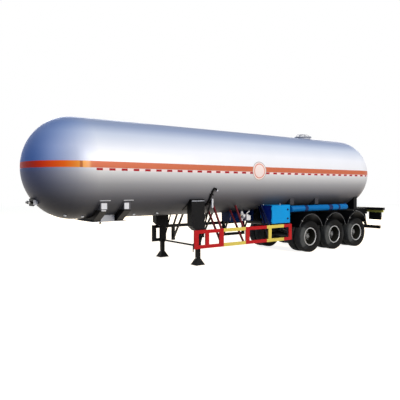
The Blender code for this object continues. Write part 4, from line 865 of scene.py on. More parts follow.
def make(name: str, shape: Shape, finish: Finish, body: str, replaces: Sequence[str] = (),
         crease: float = 35.0) -> bpy.types.Object:
    """Put a shape into a mesh object, dress it, and let it ride on a body.

    Args:
        name: The piece's name.
        shape: Closed shape in the row's frame.
        finish: Its finish.
        body: CAD body that carries it.
        replaces: CAD nodes that it stands for.
        crease: Angle in degrees above which an edge stays sharp.

    Returns:
        The finished object at the origin.
    """
    mesh = bpy.data.meshes.new(name)
    mesh.from_pydata(shape.points, [], shape.faces)
    bm = bmesh.new()
    bm.from_mesh(mesh)
    bmesh.ops.remove_doubles(bm, verts=bm.verts, dist=0.00003)
    bmesh.ops.dissolve_degenerate(bm, edges=bm.edges, dist=0.00002)
    bmesh.ops.recalc_face_normals(bm, faces=bm.faces)
    bm.to_mesh(mesh)
    bm.free()
    mesh.polygons.foreach_set("use_smooth", np.ones(len(mesh.polygons), bool))
    mesh.set_sharp_from_angle(angle=math.radians(crease))
    mesh.materials.append(finish.material())
    piece = bpy.data.objects.new(name, mesh)
    bpy.context.scene.collection.objects.link(piece)
    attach(piece, body)
    if replaces:
        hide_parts(*replaces)
    mesh.calc_loop_triangles()
    log.info("%s: %d triangles on %s", name, len(mesh.loop_triangles), body)
    return piece


def dress(node: bpy.types.Object, finish: Finish) -> None:
    """Give a CAD node a finish in its own material slots.

    Args:
        node: The CAD node.
        finish: Its finish.
    """
    node.data.materials.clear()
    node.data.materials.append(finish.material())
    log.info("%s: %s", node.name, finish.label)


def bolts(places: np.ndarray, axis: Axis, sign: float, across: float = 0.022, height: float = 0.010) -> Shape:
    """Hexagon bolt heads that stand on a face at several places.

    Args:
        places: Points on the face.
        axis: Direction that the heads point in.
        sign: 1 or -1 along it.
        across: Width across the corners.
        height: Height of a head.

    Returns:
        All the heads as one shape.
    """
    profile = np.array([[0.0, -0.001], [across / 2, -0.001], [across / 2, height * 0.8],
                        [across * 0.42, height], [0.0, height]])
    head = revolved(profile * np.array([1.0, sign]), 6, axis)
    return joined([head.shifted(*place) for place in np.asarray(places, float)])


@dataclass
class Vessel:
    """Pressure vessel: smooth shell with its weld beads, and the lamps under its flank."""

    sides: int = 192
    rings: int = 40
    bead: float = 0.0022
    bead_width: float = 0.016
    depth: float = 1.165
    seams: tuple[float, ...] = (5.546, 3.55, 1.40, -0.75, -2.90, -4.95)
    lamps: tuple[tuple[float, float], ...] = ((5.578, 0.42), (5.17, 0.449), (3.801, 0.459), (3.124, 0.48))

    def __post_init__(self) -> None:
        """Read the vessel's place from its CAD node."""
        self.low, self.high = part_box("tank")
        self.radius = (self.high.y - self.low.y) / 2
        self.axis_z = (self.low.z + self.high.z) / 2

    def shell(self) -> Shape:
        """Turn the shell: quarter ellipses for the heads, a straight wall, and low round beads at its seams.

        Returns:
            The closed shell.
        """
        arc = np.linspace(0.0, math.pi / 2, self.rings)
        nose = np.stack([self.radius * np.sin(arc), self.high.x - self.depth + self.depth * np.cos(arc)],
                        axis=-1)
        tail = np.stack([nose[::-1, 0], self.low.x + self.depth - (nose[::-1, 1] - self.high.x + self.depth)],
                        axis=-1)
        spread = np.array([2.6, 1.5, 1.0, 0.66, 0.33, 0.0, -0.33, -0.66, -1.0, -1.5,
                           -2.6]) * self.bead_width / 2
        wall = np.concatenate([seam + spread for seam in self.seams])
        inside = wall[(wall < self.high.x - self.depth) & (wall > self.low.x + self.depth)]
        straight = np.stack([np.full(inside.shape, self.radius), inside], axis=-1)
        profile = np.concatenate([nose, straight, tail])
        nearest = np.abs(profile[:, 1:] - np.array(self.seams)).min(axis=1)
        profile[:, 0] += self.bead * np.cos(np.clip(nearest / self.bead_width * math.pi, 0.0,
                                                    math.pi / 2)) ** 2
        profile[[0, -1], 0] = 0.0
        return revolved(profile, self.sides, Axis.X).shifted(0.0, 0.0, self.axis_z)

    def lamp(self, x: float, y: float) -> Shape:
        """Small rounded lamp seated on the belly, square to the wall there, also where the head curves up.

        Args:
            x: Station along the vessel.
            y: Distance from the middle plane.

        Returns:
            The lamp in place.
        """
        share = max(0.0, x - self.high.x + self.depth) / self.depth
        local = self.radius * math.sqrt(1.0 - share ** 2)
        tilt = math.degrees(math.atan(self.radius / self.depth * share / math.sqrt(1.0 - share ** 2)))
        lean = math.degrees(math.asin(y / local))
        body = slab((-0.035, -0.018, -0.028), (0.035, 0.018, 0.003), Axis.Z, 0.016).turned(Axis.Y, -tilt)
        return body.shifted(x, 0.0, -local).turned(Axis.X, lean).shifted(0.0, 0.0, self.axis_z)

    def build(self) -> None:
        """Make the shell and the lamps."""
        make("vessel_shell", self.shell(), SHELL, TRAILER, ["tank"], crease=60.0)
        lamps = joined([self.lamp(x, y) for x, y in self.lamps])
        make("belly_lamps_left", lamps, CLEAR, TRAILER)
        make("belly_lamps_right", lamps.mirrored(), CLEAR, TRAILER)


@dataclass
class WheelSet:
    """Twin wheels of one hub: two tyres, two rims on one disc, nuts and hub cap."""

    number: int
    side: Side
    around: int = 216
    ribs: int = 5
    groove: float = 0.011
    groove_depth: float = 0.012
    studs: int = 10
    stud_circle: float = 0.1675
    hand_holes: int = 10
    bead_share: float = 0.76
    tread_share: float = 0.80

    def __post_init__(self) -> None:
        """Read the places of the tyres and the hub from their CAD nodes."""
        self.label = f"{self.number}_{self.side.label}"
        self.wheel_node = f"wheel_{self.label}"
        self.tyre_nodes = [f"tyre_{self.label}_outer", f"tyre_{self.label}_inner"]
        self.body = f"wheel_set_{self.label}"
        low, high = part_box(self.wheel_node)
        self.x, self.z = (low.x + high.x) / 2, (low.z + high.z) / 2
        tyre_low, tyre_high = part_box(self.tyre_nodes[0])
        self.tyre_radius = (tyre_high.z - tyre_low.z) / 2
        self.tyre_half = (tyre_high.y - tyre_low.y) / 2
        self.tyre_ys = [abs((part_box(node)[0].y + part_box(node)[1].y) / 2) for node in self.tyre_nodes]
        self.flange = (high.z - low.z) / 2
        self.face = sum(self.tyre_ys) / 2

    def place(self, shape: Shape) -> Shape:
        """Carry a shape from the wheel's own centre to its place on its side."""
        placed = shape.shifted(self.x, 0.0, self.z)
        return placed if self.side is Side.LEFT else placed.mirrored()

    def tyre(self, y: float) -> Shape:
        """Skin a tyre over width and angle: grooved ribs, notched shoulders and ringed walls.

        Args:
            y: The tyre's middle, away from the middle plane.

        Returns:
            The tyre about the wheel's centre.
        """
        top, half, seat = self.tyre_radius, self.tyre_half, self.flange + 0.002
        tread_half = half * self.tread_share
        edges = np.linspace(-tread_half, tread_half, self.ribs + 1)[1:-1]
        marks = (edges[:, None] + np.array([-1.0, -0.55, 0.55, 1.0]) * self.groove / 2).ravel()
        depth = np.tile([0.0, 1.0, 1.0, 0.0], len(edges)) * self.groove_depth
        across = np.concatenate([[-tread_half], marks, [tread_half]])
        crown = top - 0.005 * (across / tread_half) ** 2 - np.concatenate([[0.0], depth, [0.0]])
        wall = np.array([[top - 0.016, 0.92], [top - 0.034, 0.955], [top - 0.050, 0.965],
                         [top - 0.075, 0.985], [top - 0.095, 1.0], [top - 0.125, 0.995], [top - 0.150, 0.97],
                         [top - 0.153, 0.985], [top - 0.157, 0.985], [top - 0.160, 0.95],
                         [seat + 0.026, 0.86], [seat + 0.022, 0.875], [seat + 0.012, 0.85],
                         [seat, self.bead_share]])
        profile = np.concatenate([np.stack([crown, across], axis=-1), wall * [1.0, half],
                                  [[seat - 0.01, 0.55 * half]], [[seat - 0.01, -0.55 * half]],
                                  (wall * [1.0, -half])[::-1]])
        turn = np.linspace(0.0, TAU, self.around, endpoint=False)
        shoulder = np.abs(np.abs(profile[:, 1:]) - tread_half) < 0.012
        notch = ((np.arange(self.around) % 6) < 2)[None, :] * shoulder
        radius = profile[:, :1] - 0.006 * notch * (profile[:, :1] > top - 0.03)
        along = np.broadcast_to(profile[:, 1:] + y, radius.shape)
        points = np.stack([radius * np.sin(turn), along, radius * np.cos(turn)], axis=-1)
        return grid(points, closed=True)

    def flange_ring(self) -> Shape:
        """Turn the rolled outer flange as a ring of its own section, lapped over the barrel's edge.

        Returns:
            The ring about the wheel's centre.
        """
        lip, out = self.flange, self.tyre_ys[0] + self.tyre_half * self.bead_share
        profile = np.array([[lip, out - 0.002], [lip, out + 0.010], [lip - 0.004, out + 0.014],
                            [lip - 0.017, out + 0.015], [lip - 0.025, out + 0.009],
                            [lip - 0.027, out - 0.006], [lip - 0.020, out - 0.010]])
        return revolved(profile, 96, Axis.Y, ring=True)

    def rim(self) -> Shape:
        """Turn both rims in one profile, from the outer flange round the barrel to the brake drum.

        Returns:
            The closed barrel.
        """
        lip, seat = self.flange, self.tyre_half * self.bead_share
        out, inn = self.tyre_ys[0] + seat, self.tyre_ys[1] - seat
        barrel, face = lip - 0.040, self.face
        profile = np.array([[lip - 0.002, out], [lip - 0.002, out + 0.008], [lip - 0.006, out + 0.012],
                            [lip - 0.015, out + 0.012], [lip - 0.021, out + 0.006],
                            [lip - 0.023, out - 0.012], [lip - 0.030, out - 0.035], [barrel, out - 0.060],
                            [barrel, face + 0.050], [barrel - 0.004, face + 0.036],
                            [barrel - 0.004, face + 0.026], [barrel - 0.004, face - 0.020],
                            [0.206, face - 0.050], [0.206, inn - 0.020], [0.120, inn - 0.034],
                            [0.120, inn - 0.028], [0.200, inn - 0.014], [lip - 0.030, inn - 0.004],
                            [lip - 0.016, inn - 0.014], [lip - 0.004, inn - 0.014], [lip, inn - 0.010],
                            [lip, inn], [lip - 0.012, inn + 0.02], [lip - 0.012, out - 0.02]])
        return revolved(profile, 96, Axis.Y, ring=True)

    def disc(self) -> Shape:
        """Dished disc with hand holes: each sector's skin runs from its hole's edge out to the sector's rim.

        Returns:
            The disc about the wheel's centre.
        """
        inner, outer, thick = 0.105, self.flange - 0.042, 0.010
        half_turn, middle, reach = math.pi / self.hand_holes, 0.205, 0.020
        turn = np.linspace(0.0, TAU, 32, endpoint=False)
        spin = np.stack([np.cos(turn), np.sin(turn)], axis=-1)
        square = spin / np.abs(spin).max(axis=1, keepdims=True)
        radial = np.where(square[:, 0] > 0, (outer - middle) * square[:, 0], (middle - inner) * square[:, 0])
        share = np.linspace(0.0, 1.0, 5)[:, None]
        radius = middle + (1 - share) * spin[:, 0] * reach + share * radial
        angle = (1 - share) * spin[:, 1] * reach * 1.25 / middle + share * square[:, 1] * half_turn
        dish = self.face + 0.030 + 0.024 * np.cos(np.clip((radius - 0.165) / 0.075, -1.0, 1.0) * math.pi / 2)
        shapes = []
        for sector in range(self.hand_holes):
            swing = angle + sector * 2 * half_turn
            front = np.stack([radius * np.sin(swing), dish, radius * np.cos(swing)], axis=-1)
            back = front - np.array([0.0, thick, 0.0])
            shapes.append(grid(np.concatenate([front[::-1], back]), closed=False, caps=False))
        return joined(shapes)

    def hub(self) -> Shape:
        """Turn the hub with its stepped cap.

        Returns:
            The hub about the wheel's centre.
        """
        face, cap = self.face, self.face + 0.178
        profile = np.array([[0.0, cap], [0.052, cap], [0.064, cap - 0.004], [0.070, cap - 0.012],
                            [0.072, cap - 0.034], [0.084, cap - 0.038], [0.086, cap - 0.060],
                            [0.098, cap - 0.066], [0.104, face + 0.070], [0.128, face + 0.056],
                            [0.130, face + 0.020], [0.0, face + 0.020]])
        return revolved(profile, 48, Axis.Y)

    def nuts(self) -> Shape:
        """Studs with flanged nuts on the stud circle, and small bolts round the hub cap.

        Returns:
            All the nuts, studs and small bolts.
        """
        turn = np.arange(self.studs) * TAU / self.studs + 0.1
        ring = np.stack([np.sin(turn), np.zeros(self.studs), np.cos(turn)], axis=-1)
        seat = np.array([0.0, self.face + 0.052, 0.0])
        nuts = bolts(ring * self.stud_circle + seat, Axis.Y, 1.0, 0.036, 0.026)
        studs = bolts(ring * self.stud_circle + seat + [0.0, 0.024, 0.0], Axis.Y, 1.0, 0.020, 0.020)
        small = bolts(ring[::2] * 0.079 + [0.0, self.face + 0.142, 0.0], Axis.Y, 1.0, 0.014, 0.008)
        return joined([nuts, studs, small])

    def build(self) -> None:
        """Make both tyres, the rims, the disc, the hub and the nuts."""
        label = self.label
        for node, y, place in zip(self.tyre_nodes, self.tyre_ys, ("outer", "inner")):
            make(f"tread_tyre_{label}_{place}", self.place(self.tyre(y)), TYRE, self.body,
                 [node])
        # The barrel and disc carry the near black painted shade; the flange ring stays silver.
        make(f"rim_barrel_{label}", self.place(self.rim()), DISH, self.body, [self.wheel_node])
        make(f"rim_flange_{label}", self.place(self.flange_ring()), RIM, self.body)
        make(f"wheel_disc_{label}", self.place(self.disc()), DISH, self.body)
        # The hub's lighter grey stands partly for its glints as a painted highlight.
        make(f"hub_{label}", self.place(self.hub()), HUB, self.body)
        make(f"wheel_nuts_{label}", self.place(self.nuts()), ZINC, self.body)


@dataclass
class Mudguards:
    """Three half-round guards of one side with rolled edges, whose pale bead and small pale clip are painted
    highlights, on their carrier bar.
    """

    side: Side
    steps: int = 48
    end_degrees: float = 16.0
    sheet: float = 0.006
    clip_degrees: float = 40.0
    edge: float = 0.007
    corner: float = 0.018
    lip: float = 0.028
    inner: float = 0.586
    bar_rise: float = 0.026
    rail_y: float = 0.5303

    def __post_init__(self) -> None:
        """Read the row's place from its CAD node and the axles."""
        self.node = f"mudguards_{self.side.label}"
        low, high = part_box(self.node)
        self.out = max(abs(low.y), abs(high.y))
        self.bar_top = high.z
        self.top = high.z - self.bar_rise
        self.xs = [sum(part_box(f"axle_{number}")[k].x for k in (0, 1)) / 2 for number in (1, 2, 3)]
        self.radius = (high.x - self.xs[0]) / math.cos(math.radians(self.end_degrees))
        self.centre_z = self.top - self.radius

    def section(self) -> np.ndarray:
        """Section of the sheet as radius and y: flat crown, rounded shoulder, short lip and a rolled bead.

        Returns:
            Radius and y of each section point.
        """
        turn, corner = np.linspace(math.pi / 2, 0.0, 6), self.corner
        shoulder = np.stack([self.radius - corner + corner * np.sin(turn),
                             self.out - corner + corner * np.cos(turn)], axis=-1)
        lip = np.array([[self.radius - self.lip, self.out - 0.001], [self.radius - self.lip,
                                                                     self.out - self.sheet]])
        inside = np.stack([self.radius - corner + (corner - self.sheet) * np.sin(turn[::-1]),
                           self.out - corner + (corner - self.sheet) * np.cos(turn[::-1])], axis=-1)
        start = np.array([[self.radius, self.inner]])
        return np.concatenate([start, shoulder, lip, inside, start - [[self.sheet, 0.0]]])

    def bead(self) -> np.ndarray:
        """Section of the edge trim as radius and y: a round bead on the lip, a painted highlight along the
        edge.
        """
        return circle(self.edge, 10) + np.array([self.radius - self.lip, self.out - self.edge])

    def arch(self, x: float, section: np.ndarray) -> Shape:
        """Carry a section round the axle from one end angle to the other.

        Args:
            x: The axle's station.
            section: Radius and y of each section point.

        Returns:
            The arch of that section.
        """
        turn = np.linspace(math.radians(self.end_degrees), math.pi - math.radians(self.end_degrees),
                           self.steps + 1)
        points = np.stack([x + section[:, 0] * np.cos(turn)[:, None],
                           np.broadcast_to(section[:, 1], (len(turn), len(section))),
                           self.centre_z + section[:, 0] * np.sin(turn)[:, None]], axis=-1)
        return grid(points)

    def carrier(self) -> Shape:
        """Carrier bar along the guards with an arm out from the rail over each axle.

        Returns:
            The bar and its arms.
        """
        bar = slab((self.xs[2] - 0.2, self.inner + 0.004, self.top - 0.004),
                   (self.xs[0] + 0.2, self.inner + 0.054, self.bar_top), Axis.X, 0.008)
        arms = [slab((x - 0.04, self.rail_y, self.top + 0.002), (x + 0.04, self.inner + 0.03,
                                                                 self.top + 0.020), Axis.Z) for x in self.xs]
        return joined([bar] + arms)

    def build(self) -> None:
        """Make the arches, the painted highlights of edge trim and pale clip, the carrier and its bolts."""
        reach, lean = self.radius - 0.026, math.radians(self.clip_degrees)
        # Painted highlight: a small pale clip on each arch's upper front stands for its glint.
        clip = slab((-0.026, self.out - 0.014, -0.011), (0.026, self.out + 0.004, 0.011), Axis.Y, 0.008)
        clips = joined([clip.turned(Axis.Y, self.clip_degrees + 90.0).shifted(
            x + reach * math.cos(lean), 0.0, self.centre_z + reach * math.sin(lean)) for x in self.xs])
        arches = joined([self.arch(x, self.section()) for x in self.xs])
        trim = joined([self.arch(x, self.bead()) for x in self.xs])
        heads = bolts(np.array([[x + dx, self.inner + 0.029, self.bar_top] for x in self.xs
                                for dx in (-0.12, 0.12)]), Axis.Z, 1.0)
        carrier = self.carrier()
        if self.side is Side.RIGHT:
            arches, trim, clips, heads, carrier = (
                shape.mirrored() for shape in (arches, trim, clips, heads, carrier))
        make(f"mudguard_arches_{self.side.label}", arches, PLASTIC, TRAILER, [self.node])
        make(f"mudguard_trim_{self.side.label}", trim, BEAD_HIGHLIGHT, TRAILER)
        make(f"mudguard_clips_{self.side.label}", clips, ZINC, TRAILER)
        make(f"mudguard_carrier_{self.side.label}", carrier, BLACK, TRAILER)
        make(f"mudguard_bolts_{self.side.label}", heads, ZINC, TRAILER)


@dataclass
class HoseTube:
    """Round hose carrier with its straps and arms, and the hinged lid behind."""

    wall: float = 0.007
    lid_gap: float = 0.006
    lid_lap: float = 0.0022
    barrel: float = 0.011
    arm_root: float = 0.46
    arms_at: tuple[float, ...] = (0.240, 0.680, 0.842)
    straps_at: tuple[tuple[float, float], ...] = ((-2.08, -1.94), (-3.33, -3.14), (-3.73, -3.64))

    def __post_init__(self) -> None:
        """Read the tube's place from its CAD node and the lid's joint."""
        low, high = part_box("hose_tube")
        lid_low, lid_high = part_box("hose_tube_lid")
        self.front, self.rear = high.x, lid_high.x + self.lid_gap - self.lid_lap
        self.y = (lid_low.y + lid_high.y) / 2
        self.radius = (lid_high.y - lid_low.y) / 2
        self.z = lid_low.z + self.radius
        self.arm_low = low.z
        self.lid_x, self.lid_top = lid_high.x, lid_high.z

    def body(self) -> Shape:
        """Turn the tube: closed front with a domed cap, open bore behind, and a rolled mouth.

        Returns:
            The tube in place.
        """
        r, w = self.radius, self.wall
        profile = np.array([[0.0, self.front], [r * 0.6, self.front - 0.001], [r * 0.93, self.front - 0.006],
                            [r, self.front - 0.016], [r, self.rear + 0.030], [r, self.rear + 0.004],
                            [r - 0.002, self.rear], [r - w, self.rear], [r - w, self.front - w],
                            [0.0, self.front - w]])
        return revolved(profile, 64, Axis.X).shifted(0.0, self.y, self.z)

    def straps(self) -> Shape:
        """Turned straps round the tube: a band with a raised lip at either edge.

        Returns:
            All the straps.
        """
        r, lip = self.radius, 0.010
        bands = [np.array([[r - 0.001, x0], [r + 0.0055, x0], [r + 0.0055, x0 + lip], [r + 0.0025, x0 + lip],
                           [r + 0.0025, x1 - lip], [r + 0.0055, x1 - lip], [r + 0.0055, x1], [r - 0.001, x1]])
                 for x0, x1 in self.straps_at]
        return joined([revolved(band, 48, Axis.X, ring=True).shifted(0.0, self.y, self.z) for band in bands])

    def arms(self) -> Shape:
        """Arms out from the rail under the tube, and the lugs that hold the lid's pin.

        Returns:
            The arms, the lugs and the seat between them.
        """
        length = self.front - self.rear
        shapes = [slab((self.front - length * share - 0.03, self.arm_root, self.arm_low),
                       (self.front - length * share + 0.03, self.y, self.z - self.radius * 0.88), Axis.Y)
                  for share in self.arms_at]
        hinge_x, hinge_z = self.lid_x - self.barrel - 0.0035, self.lid_top - self.barrel
        for sign in (1, -1):
            ys = sorted((self.y + sign * 0.0303, self.y + sign * 0.0403))
            shapes.append(slab((hinge_x - 0.011, ys[0], hinge_z - 0.009),
                               (self.rear + 0.05, ys[1], hinge_z + 0.011), Axis.Y, 0.004))
        shapes.append(slab((self.rear + 0.004, self.y - 0.038, self.z + self.radius * 0.8),
                           (self.rear + 0.048, self.y + 0.038, hinge_z - 0.004), Axis.Z))
        return joined(shapes)

    def cover(self) -> Shape:
        """Lid with an eased rim and a pressed ring, its strap and its hinge barrel.

        Returns:
            The closed lid.
        """
        r, front = self.radius, self.rear - self.lid_gap
        profile = np.array([[0.0, front], [r - 0.002, front], [r, front - 0.002], [r, front - 0.013],
                            [r - 0.004, front - 0.016], [r * 0.70, front - 0.016], [r * 0.66, front - 0.013],
                            [0.0, front - 0.013]])
        disc = revolved(profile, 64, Axis.X).shifted(0.0, self.y, self.z)
        hinge_x, hinge_z = front - 0.008, self.lid_top - self.barrel
        barrel = revolved(np.array([[0.0, -0.03], [self.barrel, -0.03], [self.barrel, 0.03], [0.0, 0.03]]),
                          24, Axis.Y)
        strap = slab((hinge_x - 0.008, self.y - 0.026, hinge_z - 0.040),
                     (hinge_x + 0.008, self.y + 0.026, hinge_z), Axis.X)
        return joined([disc, barrel.shifted(hinge_x, self.y, hinge_z), strap])

    def build(self) -> None:
        """Make the tube, its straps, its arms and the lid with its latch."""
        # The tube and lid are painted a darker blue as painted shade.
        make("hose_tube_shell", self.body(), TUBE, TRAILER, ["hose_tube"])
        make("hose_tube_straps", self.straps(), NAVY, TRAILER)
        make("hose_tube_arms", self.arms(), NAVY, TRAILER)
        make("hose_lid_cover", self.cover(), TUBE, "hose_lid", ["hose_tube_lid"])
        x = self.rear - 0.022
        latch = slab((x - 0.006, self.y - 0.012, self.z - self.radius + 0.004),
                     (x + 0.001, self.y + 0.012, self.z - 0.045), Axis.X, 0.004)
        make("hose_lid_latch", latch, ZINC, "hose_lid")


@dataclass
class ToolCabinet:
    """Blue tool cabinet: its CAD box and door, with the door's pressing and handles, and its fittings."""

    handle_spread: float = 0.14
    bolt_y: float = 1.0985

    def __post_init__(self) -> None:
        """Read the door's place from its CAD node."""
        self.low, self.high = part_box("tool_cabinet_door")
        self.face = self.high.y - 0.002
        self.box_low, self.box_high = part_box("tool_cabinet")

    def pressing(self) -> Shape:
        """Raised border of the door, as a bar of low section carried round a rounded rectangle.

        Returns:
            The border as a closed ring.
        """
        half_x, half_z = (self.high.x - self.low.x) / 2 - 0.055, (self.high.z - self.low.z) / 2 - 0.045
        line = rounded(half_x, half_z, 0.04, 8)
        centre_x, centre_z = (self.low.x + self.high.x) / 2 - 0.008, (self.low.z + self.high.z) / 2
        path = np.stack([centre_x + line[:, 0], np.full(len(line), self.face), centre_z + line[:, 1]],
                        axis=-1)
        section = np.array([[-0.014, -0.002], [-0.006, 0.004], [0.006, 0.004], [0.014, -0.002]])
        return swept(path, section, up=(0.0, 1.0, 0.0), closed=True)

    def handle(self, x: float, z: float) -> Shape:
        """Round lock plate with a folding bar handle across it.

        Args:
            x: Station of its centre.
            z: Height of its centre.

        Returns:
            The plate and the bar.
        """
        plate = revolved(np.array([[0.0, -0.002], [0.034, -0.002], [0.034, 0.004], [0.030, 0.006],
                                   [0.0, 0.006]]), 32, Axis.Y).shifted(x, self.face, z)
        bar = slab((x - 0.045, self.face + 0.006, z - 0.008), (x + 0.045, self.face + 0.014, z + 0.008),
                   Axis.Y, 0.007)
        return joined([plate, bar])

    def build(self) -> None:
        """Make the trim on the box and door."""
        middle = (self.low.z + self.high.z) / 2
        make("cabinet_door_pressing", self.pressing(), BLUE, "cabinet_door")
        grips = joined([self.handle(self.low.x + 0.10, middle + dz) for dz in (self.handle_spread,
                                                                               -self.handle_spread)])
        make("cabinet_door_handles", grips, NAVY, "cabinet_door")
        drip = slab((self.box_low.x - 0.004, 0.69, self.box_high.z - 0.002),
                    (self.low.x + 0.80, 1.108, self.box_high.z + 0.006), Axis.Z, 0.010)
        make("cabinet_drip_rail", drip, BLUE, TRAILER)
        roof = self.box_high.z
        eye = revolved(np.array([[0.0, roof - 0.002], [0.020, roof - 0.002], [0.020, roof + 0.006],
                                 [0.008, roof + 0.012], [0.008, roof + 0.046], [0.014, roof + 0.054],
                                 [0.0, roof + 0.064]]), 24, Axis.Z)
        cap = revolved(np.array([[0.0, roof - 0.002], [0.026, roof - 0.002], [0.026, roof + 0.022],
                                 [0.040, roof + 0.024], [0.040, roof + 0.058], [0.028, roof + 0.070],
                                 [0.0, roof + 0.072]]), 32, Axis.Z)
        fittings = joined([eye.shifted(self.high.x - 0.446, 1.05, 0.0),
                           cap.shifted(self.high.x - 0.050, 0.705, 0.0)])
        make("cabinet_roof_fittings", fittings, WHITE, TRAILER)
        xs = np.linspace(self.box_low.x + 0.04, self.box_low.x + 0.76, 7)
        heads = bolts(np.array([[x, self.bolt_y, self.box_low.z + 0.008] for x in xs]), Axis.Z, -1.0, 0.012,
                      0.012)
        make("cabinet_floor_bolts", heads, ZINC, TRAILER)


@dataclass
class LandingGear:
    """Trim of the landing legs: gearbox and shaft end, foot pins, bracket bars that are painted highlights,
    and bolts.
    """

    leg_x: float = 2.11
    leg_y: float = 0.921
    pin_z: float = 0.185
    bolt_out: float = 0.105
    bolt_rows: tuple[float, ...] = (1.16, 1.34, 1.52)

    def gearbox(self) -> Shape:
        """Cast gearbox on the near leg's front, with its cover and shaft stub.

        Returns:
            The case, its cover and four bolts.
        """
        low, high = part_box("crank_handle")
        z = high.z - 0.014
        x = low.x
        case = slab((x - 0.006, self.leg_y - 0.055, z - 0.065), (x + 0.036, self.leg_y + 0.055, z + 0.075),
                    Axis.X, 0.022)
        cover = revolved(np.array([[0.0, 0.030], [0.034, 0.030], [0.034, 0.042], [0.026, 0.048],
                                   [0.0, 0.048]]), 32, Axis.X).shifted(x, self.leg_y, z)
        heads = bolts(np.array([[x + 0.035, self.leg_y + dy, z + dz] for dy in (-0.04, 0.04)
                                for dz in (-0.05, 0.06)]), Axis.X, 1.0, 0.016, 0.008)
        return joined([case, cover, heads])

    def foot_pin(self, y: float) -> Shape:
        """Pin through the sand shoe's neck with a washer at each end.

        Args:
            y: The leg's distance from the middle plane.

        Returns:
            The pin with its washers.
        """
        profile = np.array([[0.0, -0.075], [0.014, -0.075], [0.014, -0.062], [0.022, -0.062], [0.022, -0.056],
                            [0.012, -0.056], [0.012, 0.056], [0.022, 0.056], [0.022, 0.062], [0.014, 0.062],
                            [0.014, 0.075], [0.0, 0.075]])
        return revolved(profile, 24, Axis.X).shifted(self.leg_x, y, self.pin_z)

    def bracket_bar(self, side: Side) -> Shape:
        """Pale bar along the top of the bracket's pad, laid on the vessel's wall as a painted highlight of
        its glinting edge.

        Args:
            side: The bracket's side.

        Returns:
            The bar in place.
        """
        low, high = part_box(f"landing_bracket_{side.label}")
        y = abs(high.y if side is Side.LEFT else low.y)
        bar = slab((low.x + 0.03, y - 0.004, high.z - 0.060), (high.x - 0.03, y + 0.006, high.z - 0.038),
                   Axis.Y, 0.005)
        return bar if side is Side.LEFT else bar.mirrored()

    def build(self) -> None:
        """Make the gearbox, the pins and the bracket bolts."""
        make("leg_gearbox", self.gearbox(), DARK, TRAILER)
        make("sand_shoe_pins", joined([self.foot_pin(self.leg_y), self.foot_pin(-self.leg_y)]), ZINC, TRAILER)
        for side in Side:
            low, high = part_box(f"landing_bracket_{side.label}")
            y = self.leg_y + self.bolt_out
            xs = (low.x + 0.075, high.x - 0.075)
            heads = bolts(np.array([[x, y, z] for x in xs for z in self.bolt_rows]), Axis.Y, 1.0, 0.026,
                          0.012)
            heads = heads if side is Side.LEFT else heads.mirrored()
            make(f"landing_bracket_bolts_{side.label}", heads, DARK, TRAILER)
            # Painted highlight: a pale bar for the glint along the bracket pad's top edge.
            make(f"landing_bracket_bar_{side.label}", self.bracket_bar(side), PRIMER, TRAILER)


